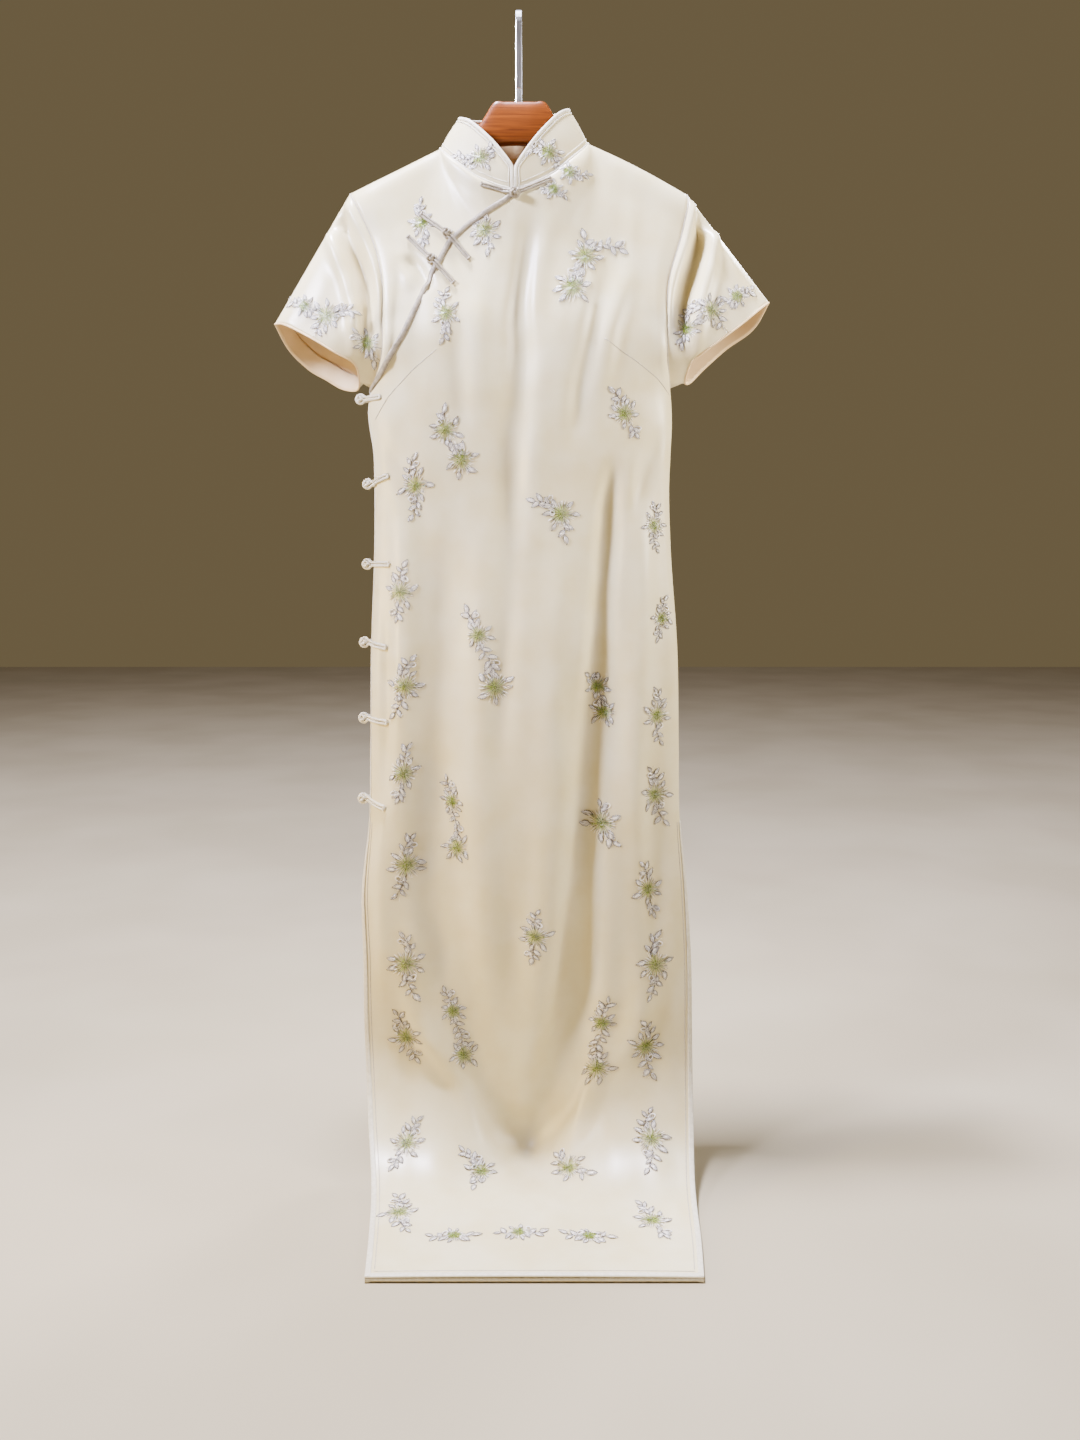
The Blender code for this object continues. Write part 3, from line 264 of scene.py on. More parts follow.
# Creases: soft ridges (height above 0) and troughs laid over the folds, with a bow to
# one side. Each fades at both ends.
CREASE = "x fall end_x end_fall bow width height"
FRONT_CREASES = named_rows(CREASE, (
    (0.018, 0.01, -0.010, 0.18, 0.002, 0.0085, -0.0024),
    (0.012, 0.09, -0.008, 0.40, 0.000, 0.0120, -0.0056),
    (-0.124, 0.078, -0.094, 0.130, 0.003, 0.0080, -0.0046),
    (-0.142, 0.060, -0.112, 0.125, 0.002, 0.0080, 0.0022),
    (0.034, 0.03, 0.012, 0.20, -0.003, 0.0090, 0.0018),
    (-0.042, 0.07, -0.031, 0.27, -0.003, 0.0120, 0.0028),
    (-0.066, 0.14, -0.054, 0.28, -0.003, 0.0090, -0.0022),
    (0.124, 0.02, 0.104, 0.18, 0.006, 0.0090, 0.0010),
    (0.100, 0.08, 0.054, 0.30, -0.004, 0.0100, -0.0026),
    (0.122, 0.08, 0.068, 0.26, 0.000, 0.0110, 0.0028),
    (0.048, 0.10, 0.040, 0.28, 0.002, 0.0120, 0.0012),
    (-0.152, 0.255, -0.096, 0.40, 0.010, 0.0100, -0.0016),
    (0.160, 0.25, 0.118, 0.38, -0.006, 0.0100, -0.0018),
    (0.106, 0.26, 0.086, 0.56, -0.002, 0.0105, -0.0050),
    (0.091, 0.42, 0.072, 0.78, 0.000, 0.0120, -0.0044),
    (0.080, 0.56, 0.058, 0.90, 0.000, 0.0150, -0.0048),
    (0.068, 0.74, 0.036, 1.03, 0.004, 0.0190, -0.0080),
    (0.119, 0.27, 0.105, 0.50, 0.000, 0.0095, 0.0028),
    (0.010, 0.22, 0.020, 0.42, 0.004, 0.0160, 0.0030),
    (-0.041, 0.33, -0.040, 0.68, 0.003, 0.0120, 0.0026),
    (-0.073, 0.32, -0.083, 0.76, -0.003, 0.0160, -0.0040),
    (0.000, 0.32, -0.018, 0.64, -0.003, 0.0100, -0.0028),
    (0.054, 0.30, 0.026, 0.64, 0.004, 0.0150, 0.0030),
    (0.048, 0.50, 0.022, 0.96, 0.002, 0.0150, 0.0046),
    (-0.126, 0.29, -0.124, 0.58, 0.003, 0.0120, 0.0030),
    (-0.142, 0.44, -0.145, 0.72, 0.000, 0.0080, -0.0022),
    (0.131, 0.29, 0.128, 0.64, 0.003, 0.0120, 0.0030),
    (0.150, 0.56, 0.150, 0.94, -0.003, 0.0120, -0.0036),
    (-0.100, 0.56, -0.086, 0.94, 0.004, 0.0240, -0.0074),
    (-0.034, 0.58, -0.026, 0.92, -0.003, 0.0150, 0.0036),
    (0.094, 0.64, 0.090, 0.94, 0.003, 0.0120, 0.0036),
    (-0.134, 0.80, -0.060, 0.985, -0.016, 0.0120, 0.0034),
    (0.156, 0.80, 0.086, 0.985, 0.016, 0.0120, 0.0034),
    (-0.082, 0.90, -0.010, 1.090, -0.008, 0.0130, 0.0040),
    (0.104, 0.90, 0.026, 1.090, 0.008, 0.0130, 0.0040),
    (0.122, 0.44, 0.120, 0.76, 0.000, 0.0120, 0.0026),
    (-0.150, 0.62, -0.146, 0.92, 0.000, 0.0110, 0.0034),
))
BACK_CREASES = named_rows(CREASE, (
    (0.020, 0.05, 0.012, 0.34, 0.006, 0.0090, -0.0012),
    (-0.024, 0.06, -0.030, 0.30, -0.004, 0.0090, 0.0012),
    (0.130, 0.06, 0.090, 0.26, 0.006, 0.0090, -0.0014),
    (-0.128, 0.06, -0.094, 0.25, -0.005, 0.0080, -0.0014),
    (0.150, 0.26, 0.080, 0.40, -0.010, 0.0110, -0.0012),
    (-0.146, 0.27, -0.084, 0.38, 0.008, 0.0100, -0.0012),
    (0.036, 0.38, 0.040, 0.70, 0.006, 0.0110, 0.0014),
    (-0.042, 0.36, -0.034, 0.66, -0.005, 0.0110, 0.0014),
    (0.112, 0.48, 0.116, 0.82, 0.004, 0.0110, 0.0014),
    (-0.116, 0.50, -0.110, 0.80, -0.004, 0.0110, 0.0013),
    (0.000, 0.60, 0.008, 0.98, 0.006, 0.0130, -0.0012),
    (-0.066, 0.70, -0.050, 0.98, 0.004, 0.0120, 0.0014),
    (0.070, 0.72, 0.060, 0.98, -0.004, 0.0120, 0.0014),
))
# Down a sleeve: x and width count an armhole's points, and the fall runs from 0 to 1.
SLEEVE_CREASES = named_rows(CREASE, (
    (2.0, 0.02, 3.4, 0.95, 0.30, 0.55, 0.0012),
    (5.0, 0.00, 5.6, 0.80, -0.30, 0.60, -0.0014),
    (8.2, 0.05, 7.2, 0.70, 0.20, 0.55, -0.0016),
    (14.0, 0.05, 14.8, 0.75, 0.30, 0.60, -0.0014),
    (17.0, 0.02, 16.2, 0.90, -0.30, 0.60, 0.0012),
    (19.6, 0.05, 19.0, 0.80, 0.20, 0.50, -0.0010),
))
# Along an armhole: x and width are metres from the seam, and the fall counts its points.
SLEEVE_TROUGHS = named_rows(CREASE, (
    (0.030, -2.0, 0.016, 9.6, 0.004, 0.0110, -0.0160),
    (0.042, 0.6, 0.028, 7.4, 0.006, 0.0110, 0.0022),
    (0.018, 14.0, 0.022, 21.5, -0.003, 0.0090, -0.0028),
    (0.040, 15.0, 0.046, 21.5, -0.004, 0.0110, 0.0018),
))
# Bust darts as places on the cloth.
DARTS = (
    ((-0.155, 0.448), (-0.140, 0.425), (-0.112, 0.398), (-0.086, 0.378)),
    ((0.165, 0.421), (0.150, 0.405), (0.125, 0.388), (0.088, 0.365)),
)

# ------------ sampling
SIDE_COLUMN = 0.007 / 0.165   # first column of a half panel: one binding wide
SHOULDER_COLUMNS = 5      # columns of the driving form on each shoulder
NECK_COLUMNS = 12         # and along the neck
COLUMNS = 2 * SHOULDER_COLUMNS + NECK_COLUMNS
CORNER_REACH = 0.14       # share of the columns over which the neck's corners are rounded
CORNER_FALL = 0.35        # share of the yoke's fall over which that comes in
MIDDLE_PART = 0.5
# Falls of an armhole's points, from the shoulder to the underarm.
RING_FALLS = (0.0, 0.006, 0.021, 0.042, 0.063, 0.084, 0.105, 0.126, 0.147, 0.168, 0.189,
              0.210)
HALF_RING = len(RING_FALLS) - 1
# Points of each sheet: across and down, or round and down or up.
FRONT_GRID = (105, 400)
FRONT_TOP_ROWS = 100      # rows of the front above TOP_END
BACK_GRID = (89, 320)
LAP_GRID = (53, 64)
SLEEVE_GRID = (89, 40)
SLEEVE_FRONT = 45         # points of a sleeve's ring that lie on its front
COLLAR_GRID = (161, 16)
COLLAR_FRONT = 41         # points of the collar's ring from a front end to the side
TOP_END = 0.30            # fall where the rows of both halves of the front meet


def ease(t):
    """0 before t = 0, 1 after t = 1, and a soft step between."""
    t = np.clip(t, 0.0, 1.0)
    return t * t * (3 - 2 * t)


def fade_ends(part, share):
    """1 along a run from 0 to 1, fading to 0 over a share of it at both ends."""
    return ease(part / share) * ease((1 - part) / share)


def unit(vectors):
    """Vectors of length 1."""
    return vectors / np.maximum(np.linalg.norm(vectors, axis=-1), 1e-12)[..., None]


def between(a, b, slope_a, slope_b, span, t):
    """On a smooth curve from a at t = 0 to b at t = 1, a span apart, by its end slopes."""
    keep = 2 * t ** 3 - 3 * t ** 2 + 1
    rise = t ** 3 - 2 * t ** 2 + t
    fall = t ** 3 - t ** 2
    return keep * a + (1 - keep) * b + span * (rise * slope_a + fall * slope_b)


def smooth(table, along, name, place):
    """Values of a named column at places along a table, on a smooth curve."""
    xs = np.array([getattr(row, along) for row in table], dtype=float)
    ys = np.array([getattr(row, name) for row in table], dtype=float)
    slopes = np.gradient(ys, xs)
    i = np.clip(np.searchsorted(xs, place) - 1, 0, len(xs) - 2)
    span = xs[i + 1] - xs[i]
    t = np.clip((place - xs[i]) / span, 0.0, 1.0)
    return between(ys[i], ys[i + 1], slopes[i], slopes[i + 1], span, t)


def table_point(table, part, columns=("x", "y", "z")):
    """Points at parts of an armhole or a cuff, from the columns that hold x, y and z."""
    return np.stack([smooth(table, "part", column, part) for column in columns], axis=-1)


def armhole_point(table, part, facing):
    """Points of the front half (facing -1) or back half (facing 1) of an armhole."""
    half = "front" if facing < 0 else "back"
    return table_point(table, part, (f"{half}_x", f"{half}_y", "z"))


# ------------ the body's form
def across(column):
    """-1 at the left edge to 1 at the right, one binding wide at the first column."""
    far = column > MIDDLE_PART
    step = np.where(far, 1 - column, column) * COLUMNS
    first = math.acos(1 - SIDE_COLUMN)
    rest = (math.pi / 2 - first) / (COLUMNS / 2 - 1)
    value = np.where(step < 1, -np.cos(first * step), -np.cos(first + rest * (step - 1)))
    return np.where(far, -value, value)


def collar_point(turn, height):
    """Points of the collar; turn runs -180 to 180, height 0 at the neck to 1."""
    turn, height = np.broadcast_arrays(np.asarray(turn, float), np.asarray(height, float))
    side = np.where(turn < 0, -1.0, 1.0)
    turn = np.abs(turn)
    rings = []
    for word, tilt in (("base", BASE_TILT), ("top", TOP_TILT)):
        x, y, z = (smooth(COLLAR, "turn", f"{word}_{axis}", turn) for axis in "xyz")
        rings.append(np.stack([NECK_X + side * x, y, z + tilt * (side * x)], axis=-1))
    base, top = rings
    return base + (top - base) * height[..., None]


def top_edge(column, facing):
    """Shoulders and neck line; facing is -1 in front and 1 behind."""
    step = column * COLUMNS
    left_tip = armhole_point(LEFT_ARMHOLE, 0.0, -1)
    right_tip = armhole_point(RIGHT_ARMHOLE, 0.0, -1)
    part = np.clip(step / SHOULDER_COLUMNS, 0, 1)[..., None]
    left = left_tip + (collar_point(-90, 0) - left_tip) * part
    part = np.clip((COLUMNS - step) / SHOULDER_COLUMNS, 0, 1)[..., None]
    rise = np.concatenate([0 * part, 0 * part, SHOULDER_BOW * np.sin(math.pi * part)], axis=-1)
    right = right_tip + (collar_point(90, 0) - right_tip) * part + rise
    turn = -90 + 180 * (step - SHOULDER_COLUMNS) / NECK_COLUMNS
    if facing > 0:
        turn = np.where(turn < 0, -180 - turn, 180 - turn)
    ring = collar_point(turn, 0)
    edge = np.where((step < SHOULDER_COLUMNS)[..., None], left, ring)
    return np.where((step > COLUMNS - SHOULDER_COLUMNS)[..., None], right, edge)


def softened_edge(column, facing, v):
    """The top edge as it acts lower down, where its corners at the neck are rounded."""
    reach = np.minimum(CORNER_REACH, np.minimum(column, 1 - column)) * ease(v / CORNER_FALL)
    places = [top_edge(column + reach * part, facing) for part in (-1, -0.5, 0, 0.5, 1)]
    return sum(places) / len(places)


def turn_at(x):
    """Radius of the skirt's turn on to the table, with no kink from tight to wide."""
    apart = (np.sqrt((x - TURN_X) ** 2 + TURN_TIP ** 2) - TURN_TIP) / TURN_REACH
    wide = apart / (1 + apart ** 4) ** 0.25
    return TURN_RADIUS + TURN_GAIN * wide + TURN_RIGHT_GAIN * ease(x / RIGHT_EDGE)


def hang(fall, x):
    """Middle of the two layers below the underarm: places and front normals."""
    radius = turn_at(x)
    drop = UNDERARM_Z - (TABLE_Z + LIE_HEIGHT)
    straight = drop - radius
    length = straight + (math.pi / 2 - 1) * radius + HEM_REACH
    bend = BEND_FALL - YOKE
    down = fall - YOKE
    stretch = (length - bend) / (HEM_FALL - BEND_FALL)
    down = np.where(down > bend, bend + (down - bend) * stretch, down)
    angle = np.clip((down - straight) / radius, 0, math.pi / 2)
    lying = np.maximum(down - straight - radius * math.pi / 2, 0)
    forward = radius * (1 - np.cos(angle)) + lying
    height = (TABLE_Z + LIE_HEIGHT + radius * (1 - np.sin(angle))
              + np.maximum(straight - down, 0))
    place = np.stack([x, -forward, height], axis=-1)
    return place, np.stack([0 * x, -np.cos(angle), np.sin(angle)], axis=-1)


def fold_push(x, fall, facing):
    """How far the folds push the cloth out at places on a panel."""
    push = 0.0
    for fold in (FRONT_FOLDS if facing < 0 else BACK_FOLDS):
        part = (fall - fold.fall) / (fold.end_fall - fold.fall)
        middle = fold.x + (fold.end_x - fold.x) * part
        ridge = np.exp(-((x - middle) / fold.width) ** 2)
        push = push + fold.height * fade_ends(part, FOLD_FADE) * ridge
    if facing < 0:
        for bust in BUSTS:
            away = ((x - bust.x) ** 2 + (fall - bust.fall) ** 2) / bust.width ** 2
            push = push + bust.height * np.exp(-away)
    return push


def side_fade(column):
    """Folds die out towards the side edges."""
    return fade_ends(column, SIDE_FADE)


def body_point(column, fall, facing):
    """Points of the front (facing -1) or back (facing 1) below the underarm."""
    left = smooth(BODY, "fall", "left", fall)
    right = smooth(BODY, "fall", "right", fall)
    c = across(column)
    x = (left + right) / 2 + c * (right - left) / 2
    full = smooth(BODY, "fall", "front" if facing < 0 else "back", fall)
    edge = LAYER_APART * ease((fall - SLIT_FALL) / 0.03)
    curve = np.maximum(1 - c * c, 0) ** smooth(BODY, "fall", "flat", fall)
    depth = edge + np.maximum(full - edge, 0.0) * curve
    place, normal = hang(fall, x)
    push = fold_push(x, fall, facing) * side_fade(column)
    room = np.maximum(depth - LAYER_APART, 1e-6)
    pressed = -room * (1 - np.exp(np.minimum(push, 0) / room))
    push = np.where(push < 0, pressed, push)
    return place + normal * (-facing * (depth + push))[..., None]


def coons(column, fall, facing):
    """The part above the underarm, spanned between shoulder, armholes and chest."""
    v = fall / YOKE
    underarm = np.full_like(column, YOKE)
    left = armhole_point(LEFT_ARMHOLE, v, facing)
    right = armhole_point(RIGHT_ARMHOLE, v, facing)
    top = softened_edge(column, facing, v)
    bottom = body_point(column, underarm, facing)
    u = (0.5 * (across(column) + 1) / 2 + 0.5 * column)[..., None]
    down = np.stack([v, np.sqrt(v), v], axis=-1)
    start, end = 0 * column, 0 * column + 1
    corners = ((1 - down) * ((1 - u) * top_edge(start, facing) + u * top_edge(end, facing))
               + down * ((1 - u) * body_point(start, underarm, facing)
                         + u * body_point(end, underarm, facing)))
    point = (1 - u) * left + u * right + (1 - down) * top + down * bottom - corners
    u = u[..., 0]
    armholes = (1 - u) ** 8 * left[..., 1] + u ** 8 * right[..., 1]
    deep = down[..., 1]
    point[..., 1] = (1 - deep) * top[..., 1] + deep * bottom[..., 1] + armholes
    push = fold_push(point[..., 0], fall, facing)
    push = push - fold_push(bottom[..., 0], YOKE, facing) * deep
    point[..., 1] += facing * push * side_fade(column) * ease(fall / 0.03)
    return point


def panel_point(column, fall, facing):
    """Points on the outside of the front (facing -1) or back (facing 1)."""
    column, fall = np.broadcast_arrays(np.asarray(column, float), np.asarray(fall, float))
    above = coons(column, np.clip(fall, 0, YOKE), facing)
    below = body_point(column, np.maximum(fall, YOKE), facing)
    return np.where((fall < YOKE)[..., None], above, below)


def placket_fall(column):
    """Falls at which columns of the front meet the diagonal opening."""
    low, high = 0 * column, 0 * column + YOKE
    xs, zs = [s.x for s in PLACKET], [s.z for s in PLACKET]
    for _ in range(24):
        middle = (low + high) / 2
        point = panel_point(column, middle, -1)
        above = point[..., 2] > np.interp(point[..., 0], xs, zs)
        low, high = np.where(above, middle, low), np.where(above, high, middle)
    return np.where(column < MIDDLE_PART, high, 0.0)


def creases(x, fall, table):
    """How far the creases lift the cloth at places on it."""
    push = 0.0
    for crease in table:
        part = (fall - crease.fall) / (crease.end_fall - crease.fall)
        run = np.clip(part, 0, 1)
        middle = crease.x + (crease.end_x - crease.x) * run
        middle = middle + crease.bow * np.sin(math.pi * run)
        away = (x - middle) / crease.width
        beside = np.exp(-((np.abs(away) - 1.9) / 0.9) ** 2)
        ridge = np.exp(-away ** 2) - 0.3 * beside
        push = push + crease.height * fade_ends(part, CREASE_FADE) * ridge
    return push


def ripples(x, fall, seed):
    """Slight unevenness that hanging satin keeps everywhere, about half a millimetre."""
    rng = random.Random(seed)
    push = 0.0
    for wave in RIPPLES:
        for _ in range(3):
            lean = rng.uniform(-0.22, 0.22)
            start = rng.uniform(0, 6.28)
            sway = rng.uniform(0.006, 0.014) * np.sin(fall * rng.uniform(9, 17) + start)
            push = push + wave * RIPPLE_HEIGHT * np.sin(
                2 * math.pi * (x + lean * fall + sway) / wave + start)
    return push


# ------------ sheets of cloth
class Cloth:
    """A sheet of points with its normals, and the way to find a place on it."""

    def __init__(self, points, outward, flat_u, flat_v):
        self.points = points
        self.outward = np.array(outward, dtype=float)
        self.flat_u = flat_u
        self.flat_v = flat_v
        self.find_normals()
        self.tree = None

    def find_normals(self):
        """Normals on the outward side; at a pole they come from the next row."""
        normals = np.cross(np.gradient(self.points, axis=0), np.gradient(self.points, axis=1))
        for i, j in zip(*np.nonzero(np.linalg.norm(normals, axis=2) < 1e-10)):
            normals[i, j] = normals[1 if i == 0 else i - 1, j]
        middle = normals[normals.shape[0] // 2, normals.shape[1] // 2]
        self.turned = np.dot(middle, self.outward) < 0
        self.normals = unit(-normals if self.turned else normals)

    def part(self, first, end):
        """Some of the sheet's rows as a sheet of its own."""
        rows = slice(first, end)
        own = Cloth(self.points[rows], self.outward, self.flat_u[rows], self.flat_v[rows])
        own.normals = self.normals[rows]
        return own

    def push(self, amount):
        """Move the points out along their normals."""
        self.points = self.points + self.normals * amount[..., None]
        self.find_normals()

    def prepare(self):
        """Flat copy of the sheet, in which a place is looked up."""
        rows, cols = self.flat_u.shape
        verts = [(u, v, 0.0) for u, v in zip(self.flat_u.ravel(), self.flat_v.ravel())]
        self.faces = []
        for i in range(rows - 1):
            for j in range(cols - 1):
                a = i * cols + j
                self.faces.append((a, a + cols, a + cols + 1))
                self.faces.append((a, a + cols + 1, a + 1))
        self.flat = [Vector(v) for v in verts]
        self.solid = [Vector(p) for p in self.points.reshape(-1, 3)]
        self.facing = [Vector(n) for n in self.normals.reshape(-1, 3)]
        self.tree = BVHTree.FromPolygons(verts, self.faces)

    def at(self, u, v):
        """Place and normal of the cloth at flat coordinates, or None off the cloth."""
        if self.tree is None:
            self.prepare()
        hit, _, face, _ = self.tree.ray_cast(Vector((u, v, 1.0)), Vector((0, 0, -1)))
        if hit is None:
            return None
        corners = self.faces[face]
        flat = [self.flat[n] for n in corners]
        place, normal = (barycentric_transform(hit, *flat, *(grid[n] for n in corners))
                         for grid in (self.solid, self.facing))
        return np.array(place), np.array(normal.normalized())


def low_of(points, fall):
    """How far down the cloth below the hook's top."""
    return np.where(fall < YOKE, -points[..., 2], fall - YOKE - UNDERARM_Z)


def eased_rows(points, falls):
    """Take out the slight kink where the yoke's form meets the body's."""
    soft = points
    for _ in range(3):
        wide = np.pad(soft, ((0, 0), (4, 4), (0, 0)), mode="edge")
        soft = sum(wide[:, n:n + points.shape[1]] for n in range(9)) / 9
    share = np.exp(-((falls - YOKE) / 0.034) ** 2) * ease((falls - falls[:, :1]) / 0.03)
    return points + (soft - points) * share[..., None]


def panel_cloth(columns, falls, facing, table, seed):
    """Front or back: the body's form with its creases and ripples."""
    points = eased_rows(panel_point(columns[:, None], falls, facing), falls)
    cloth = Cloth(points, (0, facing, 0), points[..., 0], low_of(points, falls))
    fade = side_fade(columns)[:, None] * ease((HEM_FALL - falls) / 0.10)
    inner = ease(falls / 0.02)
    push = creases(points[..., 0], falls, table)
    room = ease((TROUGH_END - falls) / 0.12)
    push = np.where((push < 0) | (facing > 0), push * room, push)
    push = push + ripples(points[..., 0], falls, seed)
    cloth.push(push * fade * inner)
    return cloth


def front_falls(columns, top_rows, rows):
    """Falls of the front's rows, which start at the opening and even out below it."""
    start = placket_fall(columns)[:, None]
    top = start + (TOP_END - start) * np.linspace(0, 1, top_rows) ** 1.15
    rest = np.linspace(TOP_END, HEM_FALL, rows - top_rows + 1)[1:]
    return np.concatenate([top, np.broadcast_to(rest, (len(columns), len(rest)))], axis=1)


def underlap_cloth(columns, rows):
    """The small front under the diagonal opening, sunk behind the large one."""
    start = placket_fall(columns)
    window = ease(columns * COLUMNS - LAP_START) * ease(LAP_END - columns * COLUMNS)
    end = np.minimum(start + LAP_REACH * window, YOKE)
    falls = end[:, None] * np.linspace(0, 1, rows)
    points = panel_point(columns[:, None], falls, -1)
    cloth = Cloth(points, (0, -1, 0), points[..., 0], low_of(points, falls))
    reach = np.clip(0.8 * start, 0.002, 0.030)[:, None]
    sink = LAP_SINK * ease(falls / reach) * ease(columns * COLUMNS - 0.5)[:, None]
    push = creases(points[..., 0], falls, FRONT_CREASES) * ease(falls / 0.02)
    cloth.push(push * side_fade(columns)[:, None] - sink)
    return cloth


def sleeve_cloth(armhole, cuff, around, down, flip):
    """A sleeve: rings from the armhole to the opening."""
    ring = np.linspace(0, 2 * HALF_RING, around)
    folded = np.minimum(ring, 2 * HALF_RING - ring)
    part = np.interp(folded, range(HALF_RING + 1), RING_FALLS) / YOKE
    front_half = ring <= HALF_RING
    seam = np.where(front_half[:, None], armhole_point(armhole, part, -1),
                    armhole_point(armhole, part, 1))
    half = np.where(front_half, 0.5 * part, 1 - 0.5 * part)
    opening = table_point(cuff, 0.5 * half + 0.5 * ring / (2 * HALF_RING))
    steps = np.linspace(0, 1, down)
    points = seam[:, None] + (opening - seam)[:, None] * steps[None, :, None]
    fullness = np.sin(steps * math.pi) * SLEEVE_FULLNESS
    points[..., 1] -= np.sin(ring / HALF_RING * math.pi)[:, None] * fullness
    cloth = Cloth(points, (0, 0, -1), points[..., 0], -points[..., 2])
    rings = np.broadcast_to(ring[:, None], points.shape[:2])
    runs = np.broadcast_to(steps[None, :], points.shape[:2])
    table = [row._replace(x=2 * HALF_RING - row.x, end_x=2 * HALF_RING - row.end_x,
                          bow=-row.bow) for row in SLEEVE_CREASES] if flip else SLEEVE_CREASES
    fade = ease(np.sin(rings / (2 * HALF_RING) * math.pi) * 4)
    lengths = np.linalg.norm(opening - seam, axis=1)
    apart = runs * lengths[:, None]
    push = creases(rings, runs, table) + creases(apart, rings, SLEEVE_TROUGHS)
    cloth.push(push * ease(steps / 0.08) * ease((1 - steps) / 0.10) * fade)
    join_ring(cloth)
    return cloth


def join_ring(cloth):
    """Give the first and last column of a ring one normal between them."""
    shared = unit(cloth.normals[0] + cloth.normals[-1])
    cloth.normals[0] = cloth.normals[-1] = shared
    cloth.points[-1] = cloth.points[0]


def collar_cloth(around, up):
    """The collar's band, from its one front end round the back to the other."""
    turns = np.linspace(-0.01, -360.01, around)
    turns = np.where(turns < -180, turns + 360, turns)
    turns[-1] = 0.01
    heights = np.linspace(0, 1, up)
    points = collar_point(turns[:, None], heights[None, :])
    cloth = Cloth(points, (0, 1, 0), points[..., 0], -points[..., 2])
    swell = COLLAR_SWELL * np.sin(np.pi * heights)[None, :]
    cloth.push(np.broadcast_to(swell, points.shape[:2]).copy())
    return cloth


# ------------ meshes
def put(name, data):
    """A new object in the scene, at the origin."""
    obj = bpy.data.objects.new(name, data)
    bpy.context.scene.collection.objects.link(obj)
    return obj


def new_piece(name, verts, faces, mats, smooth_faces=True, slots=None, uv=None):
    """A mesh of its own, with a material for each slot and a place on the cloth as UV."""
    mesh = bpy.data.meshes.new(name)
    mesh.from_pydata([tuple(v) for v in verts], [], faces)
    for mat in mats:
        mesh.materials.append(mat)
    if slots is not None:
        mesh.polygons.foreach_set("material_index", slots)
    if uv is not None:
        layer = mesh.uv_layers.new(name="cloth")
        corners = np.zeros(len(mesh.loops), dtype=int)
        mesh.loops.foreach_get("vertex_index", corners)
        layer.data.foreach_set("uv", np.asarray(uv)[corners].ravel())
    if smooth_faces:
        mesh.shade_smooth()
    mesh.validate()
    return put(name, mesh)


def settle(piece, slot, *nodes):
    """Tell the frame what a piece belongs to."""
    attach(piece, "root")
    if nodes:
        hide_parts(*nodes)
    return piece


def runs_across(grid, axis):
    """Length along the cloth of each point of a grid, from its first row or column."""
    lengths = np.linalg.norm(np.diff(grid, axis=axis), axis=2)
    start = np.zeros_like(np.take(lengths, [0], axis))
    return np.concatenate([start, np.cumsum(lengths, axis)], axis)


def shell(name, cloth, mats, closed=False, thick=SATIN):
    """Thin closed shell of a sheet: outside, inside and rim."""
    outer = cloth.points
    inner = cloth.points - cloth.normals * thick
    rows, cols = outer.shape[:2]
    used = rows - 1 if closed else rows
    index = np.arange(rows * cols).reshape(rows, cols)
    if closed:
        index[-1] = index[0]
    count = used * cols
    a, b = index[:-1, :-1], index[1:, :-1]
    c, d = index[1:, 1:], index[:-1, 1:]
    quads = np.stack([a, b, c, d], axis=-1).reshape(-1, 4)
    back = quads[:, ::-1] + count
    rims = [(index[:, 0], 1), (index[:, -1], -1)]
    if not closed:
        rims += [(index[0, :], -1), (index[-1, :], 1)]
    sides = []
    for line, way in rims:
        first, second = (line[:-1], line[1:]) if way > 0 else (line[1:], line[:-1])
        sides.append(np.stack([second, first, first + count, second + count], axis=-1))
    sides = np.concatenate(sides)
    if cloth.turned:
        quads, back, sides = quads[:, ::-1], back[:, ::-1], sides[:, ::-1]
    faces = [list(dict.fromkeys(face)) for face in np.concatenate([quads, back, sides]).tolist()]
    slots = [0] * len(quads) + [1] * len(back) + [0] * len(sides)
    keep = [n for n, face in enumerate(faces) if len(face) > 2]
    uv = np.stack([runs_across(outer, 0), runs_across(outer, 1)], axis=-1)
    uv = uv[:used].reshape(-1, 2)
    verts = np.concatenate([outer[:used].reshape(-1, 3), inner[:used].reshape(-1, 3)])
    return new_piece(name, verts, [faces[n] for n in keep], mats,
                     slots=[slots[n] for n in keep], uv=np.concatenate([uv, uv]))


def outline(angles, square):
    """Across and up round a rod's outline: a circle or, with square below 1, nearer a box."""
    waves = (np.cos(angles), np.sin(angles))
    return [np.sign(wave) * np.abs(wave) ** square for wave in waves]


def rod_faces(count, around, closed=False):
    """Faces of a rod of rings; an open one ends in fans to a middle point at each end."""
    ring = [(s, (s + 1) % around) for s in range(around)]
    faces = []
    for i in range(count if closed else count - 1):
        here, there = i * around, (i + 1) % count * around
        faces += [(here + s, here + t, there + t, there + s) for s, t in ring]
    if not closed:
        middle, last = count * around, (count - 1) * around
        for s, t in ring:
            faces += [(middle, t, s), (middle + 1, last + s, last + t)]
    return faces


def swept(name, path, sides, ups, half_width, half_height, mat, around=10, square=1.0,
          closed=False):
    """Rod along a path, oval or, with square below 1, flatter; closed joins its ends."""
    angles = np.arange(around) * 2 * math.pi / around + math.pi / around
    wide, high = outline(angles, square)
    rings = (path[:, None] + sides[:, None] * (wide * half_width)[None, :, None]
             + ups[:, None] * (high * half_height)[None, :, None])
    verts = np.concatenate([rings.reshape(-1, 3), path[:1], path[-1:]])
    faces = rod_faces(len(path), around, closed)
    uv = rod_uv(path, around)
    if closed:
        verts, uv = verts[:-2], uv[:-2]
    piece = new_piece(name, verts, faces, [mat], uv=uv)
    face_out(piece)
    return piece


